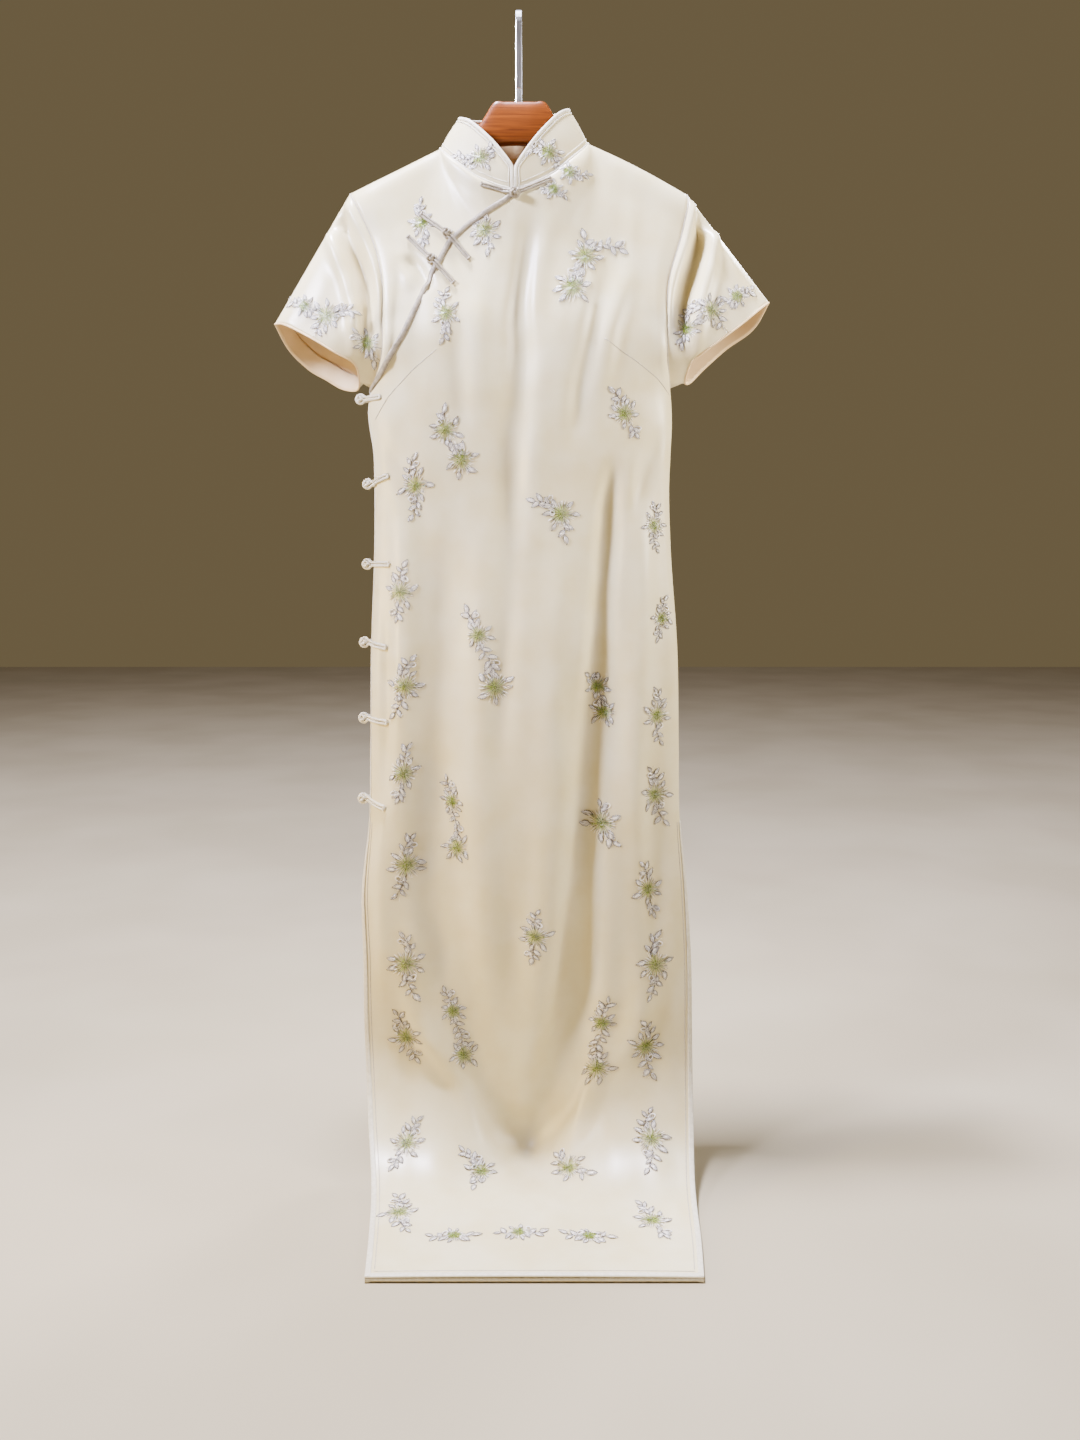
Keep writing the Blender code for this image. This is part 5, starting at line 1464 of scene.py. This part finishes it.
def along_cloth(cloth, line, step=0.003):
    """Places and normals of a cloth along a line of flat places."""
    line = np.array(line)
    run = run_of(line)
    found = [cloth.at(np.interp(s, run, line[:, 0]), np.interp(s, run, line[:, 1]))
             for s in np.arange(0, run[-1], step)]
    found = [pair for pair in found if pair is not None]
    return np.array([pair[0] for pair in found]), np.array([pair[1] for pair in found])


def rim_spots(cloth, inset):
    """Spots up the collar's one front end, round its top edge and down the other."""
    last, top = cloth.points.shape[0] - 1, cloth.points.shape[1] - 1
    near = [step_in(cloth.points[:, j], inset) for j in range(top + 1)]
    far = [last - step_in(cloth.points[::-1, j], inset) for j in range(top + 1)]
    down = [top - step_in(cloth.points[i, ::-1], inset) for i in range(last + 1)]
    rising = [(near[j], j) for j in range(top + 1) if j < down[round(near[j])]]
    falling = [(far[j], j) for j in range(top, -1, -1) if j < down[round(far[j])]]
    over = [(i, down[i]) for i in range(last + 1) if near[top] < i < far[top]]
    return rising + over + falling


def make_collar_trims(collar, mat):
    """Rolled edge, piping in the neck seam, and the fine cords along edge and foot."""
    last = collar.points.shape[0] - 1
    edge = sew("collar_edge_roll", collar, rim_spots(collar, COLLAR_ROLL * 0.36), mat,
               COLLAR_ROLL, 0.0015, "collar_binding", "collar_end_left", "collar_end_right",
               step=0.0018, lift=-0.0002, around=12, square=0.85, rounds=3)
    fine = sew("collar_fine_cord", collar, rim_spots(collar, COLLAR_CORD_IN), mat, 0.0014,
               0.0007, step=0.0015, lift=0.0002, rounds=4)
    start = round(step_in(collar.points[:, 3], COLLAR_CORD_IN))
    low = [(i, step_in(collar.points[i], COLLAR_CORD_IN))
           for i in range(start, last - start + 1)]
    foot = sew("collar_foot_cord", collar, low, mat, 0.0013, 0.0006, step=0.0015, lift=0.0002,
               rounds=2)
    piping = sew("neck_seam_piping", collar, [(i, 0) for i in range(last + 1)], mat, NECK_ROLL,
                 NECK_ROLL / 2, "neck_piping", step=0.0015, lift=0.0004, around=10, rounds=1)
    return [edge, piping, fine, foot]


def make_sleeve_hem(side, cloth, mat, thread, tree):
    """The hem turned up inside a sleeve, its fold at the opening and its stitches."""
    last = cloth.points.shape[1] - 1
    depths = np.linspace(0, SLEEVE_HEM, 9)
    grid = []
    for i in range(cloth.points.shape[0]):
        spots = [(i, last - step_in(cloth.points[i, ::-1], depth)) for depth in depths]
        places, normals = grid_places(cloth, spots)
        grid.append(places - normals * (SATIN + 0.0004))
    grid = np.array(grid)
    turned = Cloth(grid, (0, 0, -1), grid[..., 0], grid[..., 2])
    join_ring(turned)
    piece = shell(f"sleeve_hem_turned_{side}", turned, [mat, mat], closed=True, thick=0.0005)
    settle(piece, "ivory_satin_inside", f"sleeve_hem_{side}")
    rim = grid_places(cloth, [(i, last) for i in np.linspace(0, len(grid) - 1, 160)])
    fold = lay(f"sleeve_fold_{side}", rim, mat, 0.0022, 0.0011, lift=-SATIN / 2, around=10,
               closed=True)
    settle(fold, "ivory_satin_inside")
    line = grid_places(turned, [(i, 7.5) for i in np.linspace(0, len(grid) - 1, 240)])
    sewn = dashes(line, stitch=0.0026, gap=0.0022, lift=-0.0007)
    stitches = threads(f"sleeve_stitches_{side}", sewn, 0.0003, 4, thread, tree)
    settle(stitches, "ivory_satin_inside")
    return [piece, fold, stitches]


def edge_spots(cloth, side, rows, inset):
    """Spots along one side edge of a panel, that far inside it."""
    last = cloth.points.shape[0] - 1
    if side < 0:
        return [(step_in(cloth.points[:, j], inset), j) for j in rows]
    return [(last - step_in(cloth.points[::-1, j], inset), j) for j in rows]


def hem_spots(cloth, inset):
    """Spots along the hem, that far above it, between the slits' lines."""
    last, low = cloth.points.shape[0] - 1, cloth.points.shape[1] - 1
    first = step_in(cloth.points[:, low], inset)
    return [(i, low - step_in(cloth.points[round(i), ::-1], inset))
            for i in np.linspace(first, last - first, last)]


def make_armhole_seams(sleeves, mat):
    """The seams that join the sleeves to the body, as cords in a darker thread that paints the
    seam's shade.
    """
    return [sew(f"armhole_seam_{name}", sleeve, [(i, 0) for i in range(len(sleeve.points))],
                mat, 0.0014, 0.0006, step=0.0025, around=6, closed=True)
            for name, sleeve in sleeves]


def make_sewn_lines(panels, mat):
    """Bust darts, and the sewn lines inside the bindings of slits and hem, in a darker thread
    that paints the shade of their seams.
    """
    front = panels[0][0]
    darts = [settle(lay(f"dart_seam_{n}", along_cloth(front, line), mat, 0.0009, 0.0004,
                        step=0.003, lift=0.0001, around=6), "satin_binding")
             for n, line in enumerate(DARTS)]
    made = [darts, []]
    for lines, word, (cloth, slit) in zip(made, ("front", "back"), panels):
        rows = range(slit, cloth.points.shape[1] - 4)
        runs = ((f"slit_line_{word}_left", edge_spots(cloth, -1, rows, SEWN_LINE_IN)),
                (f"slit_line_{word}_right", edge_spots(cloth, 1, rows, SEWN_LINE_IN)),
                (f"hem_line_{word}", hem_spots(cloth, SEWN_LINE_IN)))
        lines += [sew(name, cloth, spots, mat, 0.0010, 0.0004, step=0.004, lift=0.0001,
                      around=6) for name, spots in runs]
    return made


def surface_tree(pieces):
    """The surfaces of some pieces in one, to find where a ray meets them."""
    verts, faces = [], []
    for piece in pieces:
        base = len(verts)
        verts += [tuple(v.co) for v in piece.data.vertices]
        faces += [[base + n for n in face.vertices] for face in piece.data.polygons]
    return BVHTree.FromPolygons(verts, faces)


def knot_path(middle, out, radius):
    """A wound button knot: one cord that goes three times round and crosses itself."""
    up = unit(np.array(out, dtype=float))
    side = unit(np.cross(up, (0.3, 0.2, 1.0)))
    other = np.cross(up, side)
    path = []
    for u in np.linspace(0, 2 * math.pi, 96, endpoint=False):
        turn = 3 * u
        rise = 1.05 * math.cos(4 * u)
        r = radius + 0.0007 * math.sin(8 * u)
        flat = r * math.cos(rise)
        path.append(middle + up * r * math.sin(rise)
                    + side * flat * math.cos(turn) + other * flat * math.sin(turn))
    return path


def hairpin(length, loop, round_knot, wide):
    """A doubled cord as places along and across a strip, with a loop at the knot."""
    half = CORD_APART * wide
    path = [(length - half + half * math.cos(a), half * math.sin(a))
            for a in np.linspace(-math.pi / 2, math.pi / 2, 7)]
    near, count = (loop * 1.3, 9) if round_knot else (0.0035, 10)
    far = length - 2 * half
    path += [(s, half) for s in np.linspace(far, near, count)[1:]]
    if round_knot:
        path += [(loop * math.cos(a), loop * math.sin(a))
                 for a in np.linspace(math.radians(35), math.radians(325), 15)]
    return path + [(s, -half) for s in np.linspace(near, far, count)[:-1]]


def end_tuck(length):
    """The small turned-in end of a strip, a bar across its two cords."""
    return [(length - 0.0006, t) for t in np.linspace(-0.0026, 0.0026, 5)]


def on_strip(path, ups, knot_at, lines):
    """Places of (along, across) lines on a strip whose middle is a path."""
    path, ups = np.array(path), np.array(ups)
    run = run_of(path) - knot_at
    wide = unit(np.cross(unit(np.gradient(path, axis=0)), ups))
    made = []
    for line in lines:
        along, across_it = np.array(line).T
        made.append(at_runs(along, run, path) + at_runs(along, run, wide) * across_it[:, None])
    return made


def strip_rise(tree, path, ups, radius):
    """A strip's middle line, lifted so that its cords just lie on the cloth."""
    lifted = []
    for place, up in zip(path, ups):
        best = -1.0
        wide = np.cross(up, unit(path[-1] - path[0]))
        for side in (-0.0022, 0, 0.0022):
            start = place + up * 0.02 + wide * side
            hit = tree.ray_cast(Vector(start), Vector(-up), 0.05)[0]
            if hit is not None:
                best = max(best, float(np.dot(np.array(hit) - place, up)))
        lifted.append(best if best > -1 else 0.0)
    lifted = np.array(lifted)
    wider = np.maximum(lifted, np.maximum(np.roll(lifted, 1), np.roll(lifted, -1)))
    wider[0], wider[-1] = lifted[0], lifted[-1]
    return path + ups * (wider * 0.7 + lifted * 0.3 + radius)[:, None]


def make_frog(name, knot, out, strips, mat, tree, wide=1.0):
    """A frog: two doubled cords, one looped round the wound knot of the other."""
    closed, bars = [], []
    for path, ups, knot_at, length, round_knot in strips:
        lines = [hairpin(length, KNOT_RADIUS * 0.86, round_knot, wide), end_tuck(length)]
        loop, bar = on_strip(path, ups, knot_at, lines)
        closed.append(loop)
        bars.append(bar + np.array(ups[-1]) * CORD * 0.5)
    cords = threads(f"frog_{name}_cords", closed, CORD * wide, 10, mat, tree, closed=True)
    tucks = threads(f"frog_{name}_tucks", bars, CORD * 0.8, 8, mat, tree, tapered=False)
    wound = threads(f"frog_{name}_knot", [knot_path(knot, out, KNOT_RADIUS - 0.0019)],
                    KNOT_CORD, 8, mat, tree, closed=True)
    core = new_piece(f"frog_{name}_core", *core_ball(knot, KNOT_RADIUS - 0.0020), [mat])
    return join(f"frog_{name}", [cords, tucks, wound, core], mat)


def core_ball(middle, radius):
    """Points and faces of the ball that fills a knot."""
    bm = bmesh.new()
    bmesh.ops.create_icosphere(bm, subdivisions=2, radius=radius)
    bmesh.ops.translate(bm, verts=bm.verts, vec=Vector(middle))
    verts = [tuple(v.co) for v in bm.verts]
    faces = [[v.index for v in face.verts] for face in bm.faces]
    bm.free()
    return verts, faces


def join(name, pieces, mat):
    """One smooth mesh of several pieces of one material."""
    bm = bmesh.new()
    for piece in pieces:
        bm.from_mesh(piece.data)
    for face in bm.faces:
        face.material_index = 0
        face.smooth = True
    mesh = bpy.data.meshes.new(name)
    bm.to_mesh(mesh)
    bm.free()
    mesh.materials.append(mat)
    for piece in pieces:
        bpy.data.objects.remove(piece, do_unlink=True)
    return put(name, mesh)


def make_front_frogs(carriers, mat, tree):
    """The frogs of collar and chest, whose knots rest on the foremost cloth under them."""
    ground = surface_tree(carriers)
    made = []
    for frog in FRONT_FROGS:
        starts = [Vector((frog.knot_x + dx, -0.4, frog.knot_z + dz))
                  for dx in (-0.004, 0, 0.004) for dz in (-0.004, 0, 0.004)]
        under = [ground.ray_cast(start, Vector((0, 1, 0)))[0].y for start in starts]
        knot = np.array([frog.knot_x, min(under) - KNOT_RADIUS + 0.0006, frog.knot_z])
        strips = []
        ends = ((frog.loop_x, frog.loop_z, True), (frog.button_x, frog.button_z, False))
        for x, z, round_knot in ends:
            away = np.array([x - frog.knot_x, 0.0, z - frog.knot_z])
            length = float(np.linalg.norm(away))
            start = knot - unit(away) * STRIP_START
            path = start + (knot + away - start) * np.linspace(0, 1, 15)[:, None]
            ups = np.tile([0.0, -1.0, 0.0], (len(path), 1))
            path = strip_rise(ground, path, ups, CORD)
            strips.append((path, ups, STRIP_START, length, round_knot))
        piece = make_frog(frog.name, knot, (0, -1, 0), strips, mat, tree)
        made.append(settle(piece, "satin_binding", "knot_" + frog.name,
                           "loop_strip_" + frog.name, "button_strip_" + frog.name))
    return made


def side_path(cloth, fall, rise, reach, knot, facing, ground):
    """Middle of a side strip: out at the knot, round the edge and over the panel."""
    low = fall - YOKE - UNDERARM_Z
    edge_x = float(panel_point(0.0, fall, facing)[0])
    path, ups = [], []
    for out in (0.010, 0.006, 0.003):
        path.append(np.array([knot[0] + 0.004 - out, facing * 0.0012, knot[2]]))
        ups.append(np.array([0.0, facing, 0.0]))
    length = 0.0
    for x in np.arange(edge_x + 0.0006, 0.0, 0.0015):
        found = cloth.at(x, low - rise * min(length / reach, 1.0))
        if found is None:
            continue
        place, up = found
        up = unit(up + np.array([0.0, facing * 0.6, 0.0]))
        if length > reach:
            break
        length += float(np.linalg.norm(place - path[-1]))
        path.append(place)
        ups.append(up)
    path, ups = np.array(path), np.array(ups)
    path[3:] = strip_rise(ground, path[3:], ups[3:], CORD)
    return path, ups


def make_side_frogs(front, back, carriers, mat, tree):
    """The frogs down the side opening, each on front and back."""
    ground = surface_tree(carriers)
    made = []
    for n, frog in enumerate(SIDE_FROGS, 1):
        fall = YOKE + UNDERARM_Z - frog.z
        edge_x = float(panel_point(0.0, fall, -1)[0])
        knot = np.array([edge_x - frog.out, 0.0, frog.z])
        strips = []
        for cloth, facing, reach, rise in ((front, -1, SIDE_FROG_REACH, frog.rise),
                                           (back, 1, SIDE_FROG_BACK, 0.0)):
            path, ups = side_path(cloth, fall, rise, reach, knot, facing, ground)
            length = float(run_of(path)[-1]) - SIDE_STRIP_START
            strips.append((path, ups, SIDE_STRIP_START, length, facing < 0))
        piece = make_frog(f"side_{n}", knot, (-1, 0, 0), strips, mat, tree, 1.2)
        made.append(settle(piece, "satin_binding", f"knot_side_{n}",
                           f"loop_strip_side_{n}", f"button_strip_side_{n}"))
    return made


# ------------ hanger and hook
# Where the hanger is sliced, from its middle out: close in its block, wider along its arm.
SLICES = np.concatenate([np.linspace(0, 0.05, 22), np.linspace(0.054, 0.169, 28)])
HANGER_ROUND = 28         # points round each slice


def make_hanger(mat):
    """The hanger's rounded body, swept through its slices."""
    angles = np.arange(HANGER_ROUND) * 2 * math.pi / HANGER_ROUND
    rings = []
    for side, reach in [(-1, out) for out in SLICES[::-1]] + [(1, out) for out in SLICES[1:]]:
        top, low, depth, square = (float(smooth(HANGER, "out", column, reach))
                                   for column in ("top", "low", "depth", "round"))
        wide, high = outline(angles, square)
        height = (top + low) / 2 + high * (top - low) / 2
        rings.append(np.stack([0 * wide + HANGER_X + side * reach, wide * depth, height],
                              axis=-1))
    verts = np.concatenate([*rings, [rings[0].mean(axis=0)], [rings[-1].mean(axis=0)]])
    piece = new_piece("hanger_wood_body", verts, rod_faces(len(rings), HANGER_ROUND), [mat])
    face_out(piece)
    settle(piece, "hanger_wood", "hanger")


# ------------ the set
# Soft round lights: place, what each is turned to, size across, power in watts, colour and
# the spread of the beam in degrees.
LIGHTS = (
    ("key light", (-1.30, -0.80, 0.45), (0, 0, -0.32), 0.35, 10.6, "#DCDDFF", 48),
    ("low key light", (-1.50, -0.45, -0.65), (0, 0, -0.92), 0.35, 3.4, "#FFDC88", 60),
    ("overhead light", (-0.55, -0.08, 2.00), (0, -0.15, -1.2), 0.45, 530, "#E4E4FF", 180),
    ("side light", (1.60, -0.40, -0.12), (0, 0, -0.44), 0.50, 6.4, "#FFF6E8", 58),
    ("back light", (1.0, 1.6, 0.5), (0, 0, -0.6), 0.6, 9, "#F8F6FA", 70),
    ("fill light", (1.75, -1.0, 0.1), (0, 0, -0.42), 0.8, 3.0, "#E3E1FA", 50),
)


def make_floor(mat):
    """A wide floor at the height of the surface under the hem."""
    half = 6.0
    verts = [(-half, -half, TABLE_Z), (half, -half, TABLE_Z), (half, half, TABLE_Z),
             (-half, half, TABLE_Z)]
    floor = new_piece("studio_floor", verts, [(0, 1, 2, 3)], [mat], smooth_faces=False)


def make_light(name, place, target, size, power, tone, spread):
    """A round soft light with the spread of its beam in degrees."""
    lamp = bpy.data.lights.new(name, "AREA")
    lamp.shape = "DISK"
    lamp.size = size
    lamp.energy = power
    lamp.spread = math.radians(spread)
    lamp.color = colour(tone)[:3]
    obj = put(name, lamp)
    obj.location = place
    obj.rotation_euler = (Vector(target) - Vector(place)).to_track_quat("-Z", "Y").to_euler()


def make_world():
    """Even warm light from all round, as from a room's walls."""
    world = bpy.data.worlds.new("studio")
    bpy.context.scene.world = world
    world.use_nodes = True
    back = world.node_tree.nodes["Background"]
    back.inputs["Color"].default_value = colour("#E6CC98")
    back.inputs["Strength"].default_value = 0.19


FRAME_HEIGHT = 1440       # of the picture, in pixels, as the two shifts of its frame are
FRAME_RIGHT = 22
FRAME_DOWN = 160


def make_camera():
    """A level camera before the skirt's upper part, its frame shifted down to the hem."""
    camera = bpy.data.cameras.new("camera")
    camera.sensor_fit = "VERTICAL"
    camera.sensor_height = 36.0
    camera.lens = 30.0
    camera.shift_x = FRAME_RIGHT / FRAME_HEIGHT
    camera.shift_y = -FRAME_DOWN / FRAME_HEIGHT
    obj = put("camera", camera)
    obj.location = (0.0, -1.32, -0.6006)
    obj.rotation_euler = (math.radians(90), 0.0, 0.0)
    bpy.context.scene.camera = obj


# ------------ putting it together
def make_bindings(panels, mat, pale):
    """The placket's rolled binding and the flat bindings of slits, side and hem."""
    (front, front_slit), (back, back_slit) = panels
    left = slice(0, front.points.shape[0] // 2 + 1)
    placket = settle(
        band("placket_roll", front, (left, 0), (left, 3), mat, PLACKET_WIDTH, 0.0021,
             lift=0.0002), "satin_binding", "placket_binding")
    # Down a side edge: the edge's own row, one further in and the first column.
    sides = (("side_opening_binding", front, 0, 2, 6, "edge_binding_front_left"),
             ("slit_roll_front_right", front, -1, -3, front_slit, "slit_binding_front_right"),
             ("slit_roll_back_left", back, 0, 2, back_slit, "slit_binding_back_left"),
             ("slit_roll_back_right", back, -1, -3, back_slit, "slit_binding_back_right"))
    opening, front_right, back_left, back_right = [
        settle(band(name, cloth, (edge, slice(start, None)), (inner, slice(start, None)), pale,
                    EDGE_ROLL, 0.0008, lift=0.0001, square=0.6), "satin_binding", node)
        for name, cloth, edge, inner, start, node in sides]
    # The two hems lie on each other, so their rolls are fuller and nearly meet.
    hems = (("front", front, 0.0012, -0.0003), ("back", back, 0.0018, -0.0011))
    whole = slice(None)
    front_hem, back_hem = [
        settle(band(f"hem_roll_{word}", cloth, (whole, -1), (whole, -3), pale, HEM_ROLL, height,
                    lift=lift, square=0.6), "satin_binding", f"hem_binding_{word}")
        for word, cloth, height, lift in hems]
    return [placket, opening, front_right, front_hem], [back_left, back_right, back_hem]


def slit_row(falls):
    """The point of a side edge nearest to the top of its slit."""
    return int(np.argmin(np.abs(falls - SLIT_FALL)))


def make_panels():
    """Front and back, each with the point at which its slits begin."""
    columns = np.linspace(0, 1, FRONT_GRID[0])
    falls = front_falls(columns, FRONT_TOP_ROWS, FRONT_GRID[1])
    front = panel_cloth(columns, falls, -1, FRONT_CREASES, 11)
    back_columns = np.linspace(0, 1, BACK_GRID[0])
    back_falls = np.broadcast_to(np.linspace(0, HEM_FALL, BACK_GRID[1]), BACK_GRID)
    back = panel_cloth(back_columns, back_falls, 1, BACK_CREASES, 23)
    return (front, slit_row(falls[-1])), (back, slit_row(back_falls[0]))


def make_materials():
    """The dress's silks, the flosses and threads, the hanger's finishes and the floor's."""
    return {
        "satin": satin("ivory silk satin", "#DFD3A9", "#D8C997", 0.33, 0.08),
        # The wrong side is duller, which is real; its golden tone is painted warm light shining
        # through the silk.
        "inside": satin("wrong side of the satin", "#E6C896", "#DCBC82", 0.55, 0.15),
        # This rouleau is the same ivory satin as the pale one, painted darker grey as shade on
        # the placket and front frogs.
        "rouleau": rouleau_satin("satin rouleau painted dark as shade", "#998D74", "#726855"),
        "pale": rouleau_satin("ivory satin rouleau", "#DED7BE", "#CDC4A8"),
        "white": floss("white rayon floss", "#FFF8EA", "#F4ECDC"),
        # Dark lilac floss: real lilac stems, stalks and buds, and painted shadow beside the
        # raised white stitches and leaves.
        "lilac_and_shadow": floss("dark lilac rayon floss with painted shadow", "#54473F", "#382F2A"),
        "green": floss("yellow-green rayon floss", "#93AC04", "#6F8604"),
        "olive": floss("olive rayon floss", "#4E5C04", "#363F04"),
        # Real thread in the sleeve hems; on darts, seams and sewn lines its darker colour is
        # painted shade of the seam.
        "thread": floss("cream sewing thread darkened as seam shade", "#C4B9A4", "#AFA38D", 0.2),
        "wood": lacquered_wood("lacquered beech"),
        "steel": brushed_steel("nickel-plated steel strip"),
        "floor": floor_finish("matt studio floor"),
    }


def make_dress(mats):
    """The dress: its sheets of cloth and all that is sewn on each of them."""
    tree = thread_tree()
    panels = make_panels()
    front, back = (cloth for cloth, _ in panels)
    lap = underlap_cloth(np.linspace(0, MIDDLE_PART, LAP_GRID[0]), LAP_GRID[1])
    left = sleeve_cloth(LEFT_ARMHOLE, LEFT_CUFF, *SLEEVE_GRID, False)
    right = sleeve_cloth(RIGHT_ARMHOLE, RIGHT_CUFF, *SLEEVE_GRID, True)
    collar = collar_cloth(*COLLAR_GRID)

    def sheet_piece(name, cloth, node, **ways):
        piece = shell(name, cloth, [mats["satin"], mats["inside"]], **ways)
        return settle(piece, "ivory_satin", node)

    front_piece = sheet_piece("front_satin", front, "front_panel")
    back_piece = sheet_piece("back_satin", back, "back_panel")
    lap_piece = sheet_piece("underlap_satin", lap, "underlap")
    left_piece = sheet_piece("sleeve_satin_left", left, "sleeve_left", closed=True)
    right_piece = sheet_piece("sleeve_satin_right", right, "sleeve_right", closed=True)
    collar_piece = sheet_piece("collar_satin", collar, "collar", thick=COLLAR_SATIN)

    # The placket and the front frogs take the rouleau that is painted darker as shade; the other
    # trims take the pale one.
    front_trims, back_trims = make_bindings(panels, mats["rouleau"], mats["pale"])
    collar_trims = make_collar_trims(collar, mats["pale"])
    carriers = [front_piece, lap_piece, collar_piece, front_trims[0], *collar_trims]
    frogs = make_front_frogs(carriers, mats["rouleau"], tree)
    carriers = [front_piece, back_piece, front_trims[1]]
    frogs += make_side_frogs(front, back, carriers, mats["pale"], tree)
    lines = make_sewn_lines(panels, mats["thread"])
    seams = make_armhole_seams((("left", left), ("right", right)), mats["thread"])

    def sprigs(name, cloth, table, seed):
        return embroider("embroidery_" + name, cloth, table, seed, mats, tree)

    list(sprigs("front", front,
                                                                   FRONT_SPRIGS, 3))
    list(sprigs("back", back, BACK_SPRIGS, 5))
    sprigs("underlap", lap, UNDERLAP_SPRIGS, 9)
    sleeves = (("left", left, left_piece, seams[0], LEFT_SLEEVE_SPRIGS, 0.172, 0.0343),
               ("right", right, right_piece, seams[1], RIGHT_SLEEVE_SPRIGS, 0.150, 0.0299))
    for side, cloth, piece, seam, table, length, area in sleeves:
        hem = make_sleeve_hem(side, cloth, mats["inside"], mats["thread"], tree)
        sewn = sprigs("sleeve_" + side, cloth.part(0, SLEEVE_FRONT), table, 13)
    around = COLLAR_GRID[0]
    sewn = sprigs("collar_left", collar.part(0, COLLAR_FRONT), COLLAR_SPRIGS[:1], 17)
    sewn += sprigs("collar_right", collar.part(around - COLLAR_FRONT, around),
                   COLLAR_SPRIGS[1:], 19)


def main():
    mats = make_materials()
    make_dress(mats)
    make_hanger(mats["wood"])
    hook_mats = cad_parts["hook"].data.materials
    hook_mats.clear()
    hook_mats.append(mats["steel"])
    make_floor(mats["floor"])
    for light in LIGHTS:
        make_light(*light)
    make_world()
    make_camera()


main()
